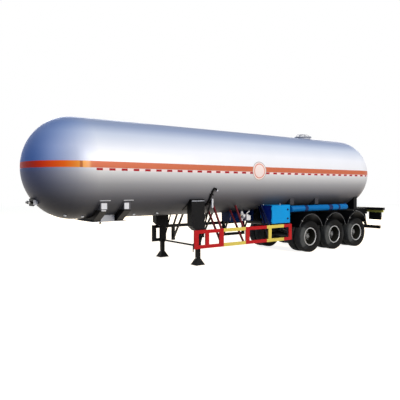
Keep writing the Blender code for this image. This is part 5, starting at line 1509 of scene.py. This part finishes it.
@dataclass
class Coupling:
    """Front coupling: saddle plates, coupling pin and the connections on the head's bracket."""

    plates: tuple[tuple[float, float, float, float], ...] = (
        (4.757, 4.901, 1.583, 1.726), (4.184, 4.308, 1.575, 1.725), (4.780, 4.900, 1.538, 1.562))
    bars: tuple[tuple[float, float], ...] = ((4.675, 4.947), (4.070, 4.333))
    bar_z: float = 1.787
    plate_y: float = 0.93998
    gland_y: float = 0.105

    def saddle_plates(self) -> Shape:
        """White plates bolted on the outer ends of the front saddles."""
        return joined([slab((x0, self.plate_y - 0.001, z0), (x1, self.plate_y + 0.006, z1), Axis.Y, 0.010)
                       for x0, x1, z0, z1 in self.plates])

    def pad_bars(self) -> Shape:
        """Pale bars laid on the vessel's wall along the upper edge of each pad, a painted highlight of the
        pads' glinting edges.

        Returns:
            The left side's bars.
        """
        low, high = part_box("tank")
        radius, axis = (high.y - low.y) / 2, (low.z + high.z) / 2
        lean = math.degrees(math.acos((axis - self.bar_z) / radius))
        bars = [slab((x0, -0.011, -0.007), (x1, 0.011, 0.001), Axis.Z, 0.005) for x0, x1 in self.bars]
        return joined(bars).shifted(0.0, 0.0, -radius).turned(Axis.X, lean).shifted(0.0, 0.0, axis)

    def pin(self) -> Shape:
        """Turn the coupling pin with its true fillets.

        Returns:
            The pin in place.
        """
        low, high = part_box("kingpin")
        x, z = (low.x + high.x) / 2, low.z
        profile = np.array([[0.0, 0.0], [0.033, 0.0], [0.0357, 0.003], [0.0357, 0.012], [0.0254, 0.017],
                            [0.0254, 0.046], [0.030, 0.048], [0.0365, 0.051], [0.0365, 0.0963],
                            [0.090, 0.0963], [0.090, 0.1083], [0.0, 0.1083]])
        return revolved(profile, 48, Axis.Z).shifted(x, 0.0, z)

    def couplings(self) -> tuple[Shape, Shape]:
        """Two air couplings with rubber seals, and the round socket with its sprung lid between them.

        Returns:
            The two couplings, and the socket.
        """
        low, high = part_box("hitch_panel")
        x, z = high.x, (low.z + high.z) / 2 - 0.004
        head = np.array([[0.0, 0.004], [0.014, 0.004], [0.016, 0.010], [0.024, 0.010], [0.027, 0.004],
                         [0.027, -0.030], [0.018, -0.040], [0.018, -0.070], [0.0, -0.070]])
        glands = [revolved(head, 32, Axis.X).shifted(x, y, z) for y in (-self.gland_y, self.gland_y)]
        socket = np.array([[0.0, 0.006], [0.030, 0.006], [0.035, 0.001], [0.035, -0.040], [0.030, -0.046],
                           [0.030, -0.075], [0.0, -0.075]])
        lid = slab((x - 0.002, -0.018, z + 0.030), (x + 0.010, 0.018, z + 0.048), Axis.X, 0.006)
        return joined(glands), joined([revolved(socket, 32, Axis.X).shifted(x, 0.0, z), lid])

    def build(self) -> None:
        """Make the plates, the pin and the connections."""
        make("saddle_plates_left", self.saddle_plates(), WHITE, TRAILER)
        make("saddle_plates_right", self.saddle_plates().mirrored(), WHITE, TRAILER)
        # Painted highlight: pale bars for the glint along each pad's upper edge.
        make("pad_weld_bars_left", self.pad_bars(), WHITE, TRAILER)
        make("pad_weld_bars_right", self.pad_bars().mirrored(), WHITE, TRAILER)
        make("coupling_pin", self.pin(), GREASED, TRAILER, ["kingpin"])
        glands, socket = self.couplings()
        make("air_couplings", glands, ZINC, TRAILER)
        make("electric_socket", socket, DARK, TRAILER)
        low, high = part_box("hitch_panel")
        tag = slab((high.x - 0.185, high.y - 0.001, low.z + 0.030),
                   (high.x - 0.088, high.y + 0.005, low.z + 0.150), Axis.Y, 0.008)
        make("hitch_tag", tag, WHITE, TRAILER)


@dataclass
class ValveGear:
    """Liquid valve, flow meter and their pipes in the open box."""

    riser_inset: float = 0.060
    outlet_rise: float = 0.145
    wheel_ahead: float = 0.085
    wheel_radius: float = 0.045
    meter_length: float = 0.170
    meter_height: float = 0.155

    def valve(self) -> Shape:
        """Turn the riser with its flanges, and add the outlet with its own flange.

        Returns:
            The valve in place.
        """
        low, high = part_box("liquid_valve")
        x, y = (low.x + high.x) / 2, low.y + self.riser_inset
        z0 = low.z
        outlet_z = z0 + self.outlet_rise
        profile = np.array([[0.0, z0], [0.046, z0], [0.046, z0 + 0.010], [0.032, z0 + 0.014],
                            [0.032, outlet_z - 0.086], [0.060, outlet_z - 0.085], [0.060, outlet_z - 0.066],
                            [0.036, outlet_z - 0.060], [0.046, outlet_z - 0.02], [0.046, outlet_z + 0.02],
                            [0.036, outlet_z + 0.058], [0.060, outlet_z + 0.065], [0.060, outlet_z + 0.084],
                            [0.032, outlet_z + 0.090], [0.032, high.z - 0.012], [0.0, high.z - 0.012]])
        riser = revolved(profile, 40, Axis.Z).shifted(x, y, 0.0)
        branch = np.array([[0.0, 0.0], [0.030, 0.0], [0.030, 0.085], [0.050, 0.090], [0.050, 0.108],
                           [0.034, 0.112], [0.034, 0.1299], [0.0, 0.1299]])
        out = revolved(branch, 40, Axis.Y).shifted(x, y, outlet_z)
        return joined([riser, out])

    def handwheel(self) -> Shape:
        """Spoked handwheel ahead of the riser: a turned rim, a hub and four spokes.

        Returns:
            The wheel in place.
        """
        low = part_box("liquid_valve")[0]
        x, y = low.x + self.riser_inset + self.wheel_ahead, low.y + self.riser_inset
        z, reach = low.z + self.outlet_rise, self.wheel_radius
        turn = np.linspace(0.0, TAU, 49)[:-1]
        rim = swept(np.stack([np.zeros(48), reach * np.sin(turn), reach * np.cos(turn)], axis=-1),
                    circle(0.005, 10), up=(1.0, 0.0, 0.0), closed=True)
        lean = [0.4 + TAU * quarter / 4 for quarter in range(4)]
        spokes = [swept(np.array([[0.0, 0.0, 0.0], [0.0, reach * math.sin(a), reach * math.cos(a)]]),
                        circle(0.0035, 8), up=(1.0, 0.0, 0.0)) for a in lean]
        stem = revolved(np.array([[0.0, -self.wheel_ahead], [0.009, -self.wheel_ahead], [0.009, 0.012],
                                  [0.0, 0.012]]), 16, Axis.X)
        return joined([rim, stem] + spokes).shifted(x, y, z)

    def meter(self) -> Shape:
        """Cast meter body with a round register on top and its own flanges.

        Returns:
            The meter in place.
        """
        low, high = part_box("flow_meter")
        x0, x1 = high.x - self.meter_length, high.x
        top = low.z + self.meter_height
        body = slab((x0, low.y, low.z), (x1, high.y, top), Axis.Y, 0.035)
        cx, cy = (x0 + x1) / 2, (low.y + high.y) / 2
        register = revolved(np.array([[0.0, top + 0.030], [0.040, top + 0.030], [0.044, top + 0.027],
                                      [0.055, top + 0.027], [0.055, top - 0.006], [0.0, top - 0.006]]), 40,
                            Axis.Z).shifted(cx, cy, 0.0)
        riser = pipe([(cx, cy, top + 0.012), (cx, cy, top + 0.07), (cx - 0.09, cy, top + 0.11),
                      (cx - 0.11, cy, high.z - 0.010)], 0.018, up=(0.0, 1.0, 0.0))
        return joined([body, register, riser])

    def build(self) -> None:
        """Make the valve, its handwheel, the meter and the loose small bore pipes."""
        make("valve_riser", self.valve(), WHITE, TRAILER, ["liquid_valve"])
        make("valve_handwheel", self.handwheel(), BRASS, TRAILER)
        make("meter_body", self.meter(), WHITE, TRAILER, ["flow_meter"])
        low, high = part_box("valve_box")
        line = pipe([(high.x - 0.20, 0.20, low.z + 0.013), (high.x - 0.20, 0.20, low.z + 0.14),
                     (high.x - 0.12, 0.24, low.z + 0.18), (high.x - 0.12, 0.28, low.z + 0.30)], 0.012,
                    up=(0.0, 1.0, 0.0))
        make("vapour_line", line, BRASS, TRAILER)


@dataclass
class Manhole:
    """Manhole on the crown: neck, flange with bolts, safety valves and the guard hoop."""

    bolt_count: int = 20
    bolt_share: float = 0.91
    neck_height: float = 0.063
    valve_x: float = 0.13
    hoop_y: float = 0.06

    def build(self) -> None:
        """Make the neck and cover, the bolts, the valves and the hoop."""
        low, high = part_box("manhole")
        x, crown, radius = (low.x + high.x) / 2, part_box("tank")[1].z, (high.x - low.x) / 2
        top = crown + self.neck_height
        profile = np.array([[0.0, top], [radius * 0.30, top], [radius * 0.32, top - 0.004],
                            [radius * 0.78, top - 0.004], [radius * 0.80, top], [radius - 0.004, top],
                            [radius, top - 0.004], [radius, top - 0.013], [radius - 0.006, top - 0.014],
                            [radius - 0.006, top - 0.016], [radius, top - 0.017], [radius, top - 0.030],
                            [radius * 0.84, top - 0.032], [radius * 0.84, crown - 0.04], [0.0, crown - 0.04]])
        make("manhole_neck", revolved(profile, 96, Axis.Z).shifted(x, 0.0, 0.0), PRIMER, TRAILER,
             ["manhole"])
        turn = np.arange(self.bolt_count) * TAU / self.bolt_count
        ring = np.stack([x + radius * self.bolt_share * np.cos(turn), radius * self.bolt_share * np.sin(turn),
                         np.full(self.bolt_count, top)], axis=-1)
        make("manhole_bolts", bolts(ring, Axis.Z, 1.0, 0.026, 0.014), ZINC, TRAILER)
        valve = np.array([[0.0, 0.070], [0.020, 0.070], [0.024, 0.062], [0.036, 0.060], [0.042, 0.054],
                          [0.042, 0.034], [0.032, 0.030], [0.032, 0.012], [0.044, 0.010], [0.044, -0.002],
                          [0.0, -0.002]])
        make("safety_valves", joined([revolved(valve, 40, Axis.Z).shifted(x + dx, 0.0, top)
                                      for dx in (-self.valve_x, self.valve_x)]), ZINC, TRAILER)
        spread, peak = radius * 0.90, high.z - 0.011
        hoops = [pipe([(x + spread, y, top - 0.004), (x + spread * 0.9, y, peak - 0.02),
                       (x + spread * 0.6, y, peak), (x - spread * 0.6, y, peak),
                       (x - spread * 0.9, y, peak - 0.02), (x - spread, y, top - 0.004)], 0.010,
                      up=(0.0, 1.0, 0.0)) for y in (-self.hoop_y, self.hoop_y)]
        make("manhole_hoops", joined(hoops), PRIMER, TRAILER)


@dataclass
class RearEnd:
    """Lamps, plate, tape and outline lamps of the rear end."""

    lamp_radius: float = 0.055

    def lamp(self, y: float, z: float) -> Shape:
        """Round lamp on the panel's rear face, with a stepped lens.

        Args:
            y: Its place across.
            z: Its height.

        Returns:
            The lamp in place.
        """
        x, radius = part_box("lamp_panel_left")[0].x, self.lamp_radius
        profile = np.array([[0.0, -0.014], [radius * 0.55, -0.013], [radius * 0.85, -0.009], [radius, -0.003],
                            [radius, 0.001], [0.0, 0.001]])
        return revolved(profile, 40, Axis.X).shifted(x, y, z)

    def build(self) -> None:
        """Make the lamps by colour, the blank plate and the reflectors."""
        low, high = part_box("lamp_panel_left")
        middle = (low.z + high.z) / 2
        for finish, name, y in ((RED, "red", 0.70), (AMBER, "amber", 0.83), (CLEAR, "white", 0.96)):
            lamps = [self.lamp(sign * y, middle + 0.03) for sign in (1, -1)]
            make(f"rear_lamps_{name}", joined(lamps), finish, TRAILER)
        beam_low, beam_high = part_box("rear_beam")
        tip = slab((beam_low.x - 0.010, beam_high.y - 0.075, beam_high.z - 0.075),
                   (beam_low.x + 0.001, beam_high.y - 0.015, beam_high.z - 0.025), Axis.X, 0.012)
        make("outline_lamp_left", tip, AMBER, TRAILER)
        make("outline_lamp_right", tip.mirrored(), AMBER, TRAILER)
        guard_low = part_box("underrun_guard")[0]
        ys = np.linspace(-0.9, 0.9, 7)
        marks = [slab((guard_low.x - 0.002, y - 0.11, guard_low.z + 0.035),
                      (guard_low.x + 0.001, y + 0.11, guard_low.z + 0.085), Axis.X, 0.004) for y in ys]
        make("guard_tape_red", joined(marks[::2]), TAPE, TRAILER)
        make("guard_tape_white", joined(marks[1::2]), WHITE, TRAILER)
        plate = slab((low.x, -0.26, low.z + 0.02), (low.x + 0.006, 0.26, low.z + 0.16), Axis.X, 0.012)
        stems = [slab((low.x + 0.004, y - 0.02, low.z + 0.10), (low.x + 0.03, y + 0.02, high.z + 0.02),
                      Axis.X, 0.004) for y in (-0.18, 0.18)]
        make("number_plate_blank", plate, WHITE, TRAILER)
        make("number_plate_stays", joined(stems), BLACK, TRAILER)


@dataclass
class FlankPipe:
    """Dark vent pipe up the left flank, its pale tip, and the white drain beside it."""

    radius: float = 0.024
    stand: float = 0.022
    degrees: tuple[float, ...] = (39.0, 44.0, 50.0, 57.0, 61.0, 65.0)
    rise: float = 0.044
    drop: float = 0.075
    run: float = 0.120
    drain: float = 0.031
    drain_degrees: float = 51.5
    drain_z: float = 1.535
    clamps_at: tuple[float, float] = (42.0, 58.0)

    def __post_init__(self) -> None:
        """Read the vessel and the pipe's station from their CAD nodes."""
        low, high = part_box("tank")
        self.vessel = (high.y - low.y) / 2
        self.axis = (low.z + high.z) / 2
        self.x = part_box("vent_pipe")[1].x - self.radius

    def on_wall(self, degrees: float, stand: float) -> tuple[float, float]:
        """Place beside the vessel's wall: y and z at an angle up from its lowest line."""
        turn = math.radians(degrees)
        return (self.vessel + stand) * math.sin(turn), self.axis - (self.vessel + stand) * math.cos(turn)

    def clamp(self, degrees: float) -> Shape:
        """Saddle clamp on the wall: a foot at either side of the pipe."""
        foot = slab((self.x - 0.055, -0.016, -0.052), (self.x + 0.055, 0.016, 0.002), Axis.Z, 0.010)
        return foot.shifted(0.0, 0.0, -self.vessel).turned(Axis.X, degrees).shifted(0.0, 0.0, self.axis)

    def build(self) -> None:
        """Make the pipe with its clamps, the tip and the drain."""
        path = [(self.x, *self.on_wall(degrees, self.stand)) for degrees in self.degrees]
        y, z = path[-1][1:]
        bend = (self.x - self.run / 3, y + self.rise / 2, z + self.rise)
        end = (self.x - self.run, y + self.rise / 2, z + self.rise - self.drop)
        make("vent_pipe_bore", pipe(path + [bend, end], self.radius + 0.0015, up=(1.0, 0.0, 0.0)), DARK,
             TRAILER, ["vent_pipe"])
        ahead = np.array(end) - np.array(bend)
        ahead /= np.linalg.norm(ahead)
        tip = [tuple(np.array(end) - ahead * 0.030), tuple(np.array(end) + ahead * 0.008)]
        make("vent_pipe_tip", swept(np.array(tip), circle(self.radius + 0.006), up=(0.0, 1.0, 0.0)), WHITE,
             TRAILER)
        make("vent_pipe_clamps", joined([self.clamp(degrees) for degrees in self.clamps_at]), DARK, TRAILER)
        x = self.x - 0.080
        y = self.on_wall(self.drain_degrees, self.drain)[0]
        profile = np.array([[0.0, 0.0], [0.026, 0.0], [0.028, 0.006], [0.028, 0.025], [0.034, 0.027],
                            [0.034, 0.045], [0.028, 0.047], [0.028, 0.235], [0.022, 0.251], [0.0, 0.255]])
        make("drain_pipe", revolved(profile, 32, Axis.Z).shifted(x, y, self.drain_z), WHITE, TRAILER)
        arm = slab((x - 0.012, y - 0.16, self.drain_z + 0.120), (x + 0.012, y - 0.024, self.drain_z + 0.145),
                   Axis.Y, 0.005)
        make("drain_pipe_arm", arm, DARK, TRAILER)


@dataclass
class Undergear:
    """Turned skins over the CAD brake chambers and air tanks."""

    chamber_y: float = 0.270
    chamber_ahead: float = 0.060
    chamber_lift: float = 0.145
    tank_setback: float = 0.450
    tank_spacing: float = 0.300
    tank_z: float = 1.009
    tank_radius: float = 0.104
    tank_half: float = 0.352

    def chamber(self, x: float, y: float, z: float) -> Shape:
        """Spring brake chamber: two pressed bowls with a clamp band, behind the axle."""
        profile = np.array([[0.0, 0.0], [0.060, 0.001], [0.072, 0.012], [0.074, 0.060], [0.083, 0.064],
                            [0.083, 0.078], [0.074, 0.082], [0.074, 0.142], [0.062, 0.156], [0.0, 0.160]])
        return revolved(profile, 40, Axis.X).shifted(x, y, z)

    def reservoir(self, x: float) -> Shape:
        """Air tank with domed ends and a rolled seam at each.

        Args:
            x: The tank's station.

        Returns:
            The tank in place.
        """
        arc = np.linspace(0.0, math.pi / 2, 8)
        dome = np.stack([self.tank_radius * np.sin(arc), self.tank_half + 0.032 * np.cos(arc)], axis=-1)
        seam = np.array([[self.tank_radius, 0.330], [0.1065, 0.327], [0.1065, 0.321],
                         [self.tank_radius, 0.318]])
        half = np.concatenate([dome, seam])
        profile = np.concatenate([half, (half * [1.0, -1.0])[::-1]])
        return revolved(profile, 48, Axis.Y).shifted(x, 0.0, self.tank_z)

    def build(self) -> None:
        """Make the chambers of each axle and both air tanks."""
        for number in (1, 2, 3):
            low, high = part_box(f"wheel_{number}_left")
            x, z = (low.x + high.x) / 2 + self.chamber_ahead, (low.z + high.z) / 2 + self.chamber_lift
            cans = joined([self.chamber(x, sign * self.chamber_y, z) for sign in (1, -1)])
            make(f"brake_chambers_{number}", cans, DARK, TRAILER)
        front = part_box("subframe")[1].x - self.tank_setback
        tanks = joined([self.reservoir(front), self.reservoir(front - self.tank_spacing)])
        make("air_tanks", tanks, DARK, TRAILER)


@dataclass
class Studio:
    """Plain pale floor, soft lamps, sky and the camera at the photograph's place."""

    eye: tuple[float, float, float] = (9.185, 10.703, 2.064)
    yaw: float = -36.174
    pitch: float = -1.465
    roll: float = -0.145
    lens: float = 40.18
    floor_size: float = 90.0
    floor_light: str = "ffe0ac"
    floor_glow: float = 0.88
    floor_grey: str = "6a6a6c"
    sky_colour: str = "8eaee8"
    sky_strength: float = 0.30
    # Each lamp's name, place, target, side in metres, power in watts and colour.
    lamps: tuple[tuple[str, tuple[float, ...], tuple[float, ...], float, float, str], ...] = (
        ("key", (-2.4, 24.0, 11.0), (-0.6, 0.0, 2.6), 12.0, 5640.0, "fffaf4"),
        ("fill", (20.0, 6.0, 12.0), (4.0, 0.0, 2.0), 10.0, 420.0, "eaf1ff"),
        ("far_side", (-4.0, -24.0, 9.0), (-1.0, 0.0, 2.0), 12.0, 3300.0, "f4f7ff"),
        ("rear", (-17.0, -9.0, 5.0), (-6.0, 0.0, 1.4), 8.0, 900.0, "fff8ee"))

    def camera(self) -> None:
        """Place the camera from its heading, dip and tilt."""
        yaw, pitch, roll = (math.radians(v) for v in (self.yaw, self.pitch, self.roll))
        ahead = Vector((math.sin(yaw) * math.cos(pitch), -math.cos(yaw) * math.cos(pitch), math.sin(pitch)))
        right = ahead.cross(Vector((0.0, 0.0, 1.0))).normalized()
        up = right.cross(ahead)
        right, up = (right * math.cos(roll) + up * math.sin(roll),
                     up * math.cos(roll) - right * math.sin(roll))
        data = bpy.data.cameras.new("photo_camera")
        data.lens, data.sensor_width, data.clip_end = self.lens, 36.0, 300.0
        camera = bpy.data.objects.new("photo_camera", data)
        camera.matrix_world = Matrix(((right.x, up.x, -ahead.x, self.eye[0]),
                                      (right.y, up.y, -ahead.y, self.eye[1]),
                                      (right.z, up.z, -ahead.z, self.eye[2]), (0.0, 0.0, 0.0, 1.0)))
        bpy.context.scene.collection.objects.link(camera)
        bpy.context.scene.camera = camera

    def seen(self, tree: Tree) -> Node:
        """Mark the rays that the eye follows: 1 for camera, mirrored and refracted rays, 0 for soft light.

        Args:
            tree: Node tree.

        Returns:
            Node whose output is the mark.
        """
        rays = add_node(tree, Kind.RAYS).outputs
        direct = add_node(tree, Kind.MATH, (rays["Is Camera Ray"], rays["Is Glossy Ray"]),
                          operation="MAXIMUM")
        return add_node(tree, Kind.MATH, (direct, rays["Is Transmission Ray"]), operation="MAXIMUM")

    def floor(self) -> None:
        """Lay the floor: pale to the camera and in reflections, greyer to soft light."""
        half = self.floor_size / 2
        mesh = bpy.data.meshes.new("studio_floor")
        mesh.from_pydata([(-half, -half, 0.0), (half, -half, 0.0), (half, half, 0.0), (-half, half, 0.0)], [],
                         [(0, 1, 2, 3)])
        material = bpy.data.materials.new("pale_studio_floor")
        material.use_nodes = True
        tree = material.node_tree
        tree.nodes.clear()
        pale = add_node(tree, Kind.DIFFUSE, {"Color": linear(self.floor_light)})
        glow = add_node(tree, Kind.GLOW, {"Color": linear("ffffff"), "Strength": self.floor_glow})
        both = add_node(tree, Kind.SUM, {0: pale, 1: glow})
        grey = add_node(tree, Kind.DIFFUSE, {"Color": linear(self.floor_grey)})
        mixed = add_node(tree, Kind.CHOICE, {0: self.seen(tree), 1: grey, 2: both})
        add_node(tree, Kind.OUTPUT, {0: mixed})
        mesh.materials.append(material)
        floor = bpy.data.objects.new("studio_floor", mesh)
        bpy.context.scene.collection.objects.link(floor)

    def sky(self) -> None:
        """White surroundings to the camera and to reflections, and a cool sky for soft light."""
        world = bpy.data.worlds.new("studio_sky")
        bpy.context.scene.world = world
        world.use_nodes = True
        tree = world.node_tree
        tree.nodes.clear()
        cool = add_node(tree, Kind.BACKGROUND, {"Color": linear(self.sky_colour),
                                                "Strength": self.sky_strength})
        white = add_node(tree, Kind.BACKGROUND, {"Color": linear("ffffff"), "Strength": 1.0})
        mixed = add_node(tree, Kind.CHOICE, {0: self.seen(tree), 1: cool, 2: white})
        add_node(tree, Kind.WORLD, {0: mixed})

    def lamp(self, name: str, place: Sequence[float], target: Sequence[float], size: float, power: float,
             code: str) -> None:
        """Hang one soft square lamp.

        Args:
            name: The lamp's name.
            place: Where it hangs.
            target: The point that it faces.
            size: Side of the square.
            power: Its power in watts.
            code: Its colour.
        """
        data = bpy.data.lights.new(name, "AREA")
        data.size, data.energy, data.color = size, power, linear(code)[:3]
        lamp = bpy.data.objects.new(name, data)
        lamp.location = place
        lamp.rotation_mode = "QUATERNION"
        lamp.rotation_quaternion = (Vector(target) - Vector(place)).to_track_quat("-Z", "Y")
        bpy.context.scene.collection.objects.link(lamp)

    def build(self) -> None:
        """Make the camera, the floor, the sky and the lamps."""
        bpy.context.scene.view_settings.view_transform = "Standard"
        self.camera()
        self.floor()
        self.sky()
        for lamp in self.lamps:
            self.lamp(*lamp)
        log.info("studio: camera, floor, sky and four lamps")


# CAD nodes that keep their own meshes, and the finish that each is painted in.
CAD_FINISHES: dict[str, Finish] = {
    "coupler_frame": PRIMER, "front_saddle_1": SADDLE, "front_saddle_2": SADDLE, "hitch_panel": DARK,
    "landing_bracket_left": DARK, "landing_bracket_right": DARK, "leg_outer_left": BLACK,
    "leg_outer_right": BLACK, "leg_inner_left": BLACK, "leg_inner_right": BLACK, "leg_cross_tube": BLACK,
    "crank_handle": BLACK, "side_guard_left": GUARD, "side_guard_right": GUARD, "axle_1": BLACK,
    "axle_2": BLACK, "axle_3": BLACK, "subframe": FRAME, "tool_cabinet": BLUE, "tool_cabinet_door": BLUE,
    # The valve box's navy is painted shade.
    "valve_box": NAVY, "rear_beam": BOARD, "lamp_panel_left": BLACK, "lamp_panel_right": BLACK,
    "underrun_guard": BLACK,
}


def main() -> None:
    """Load the frame, build every sub-assembly and keep the sizes."""
    logging.basicConfig(level=logging.INFO, format="%(name)s %(message)s")
    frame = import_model()
    Studio().build()
    for name, finish in CAD_FINISHES.items():
        dress(frame["nodes"][name], finish)
    Vessel().build()
    for number in (1, 2, 3):
        for side in Side:
            WheelSet(number, side).build()
    for side in Side:
        Mudguards(side).build()
    for assembly in (HoseTube(), ToolCabinet(), LandingGear(), Coupling(), ValveGear(), Manhole(), RearEnd(),
                     FlankPipe(), Undergear()):
        assembly.build()
    bpy.context.view_layer.update()


if __name__ == "__main__":
    main()
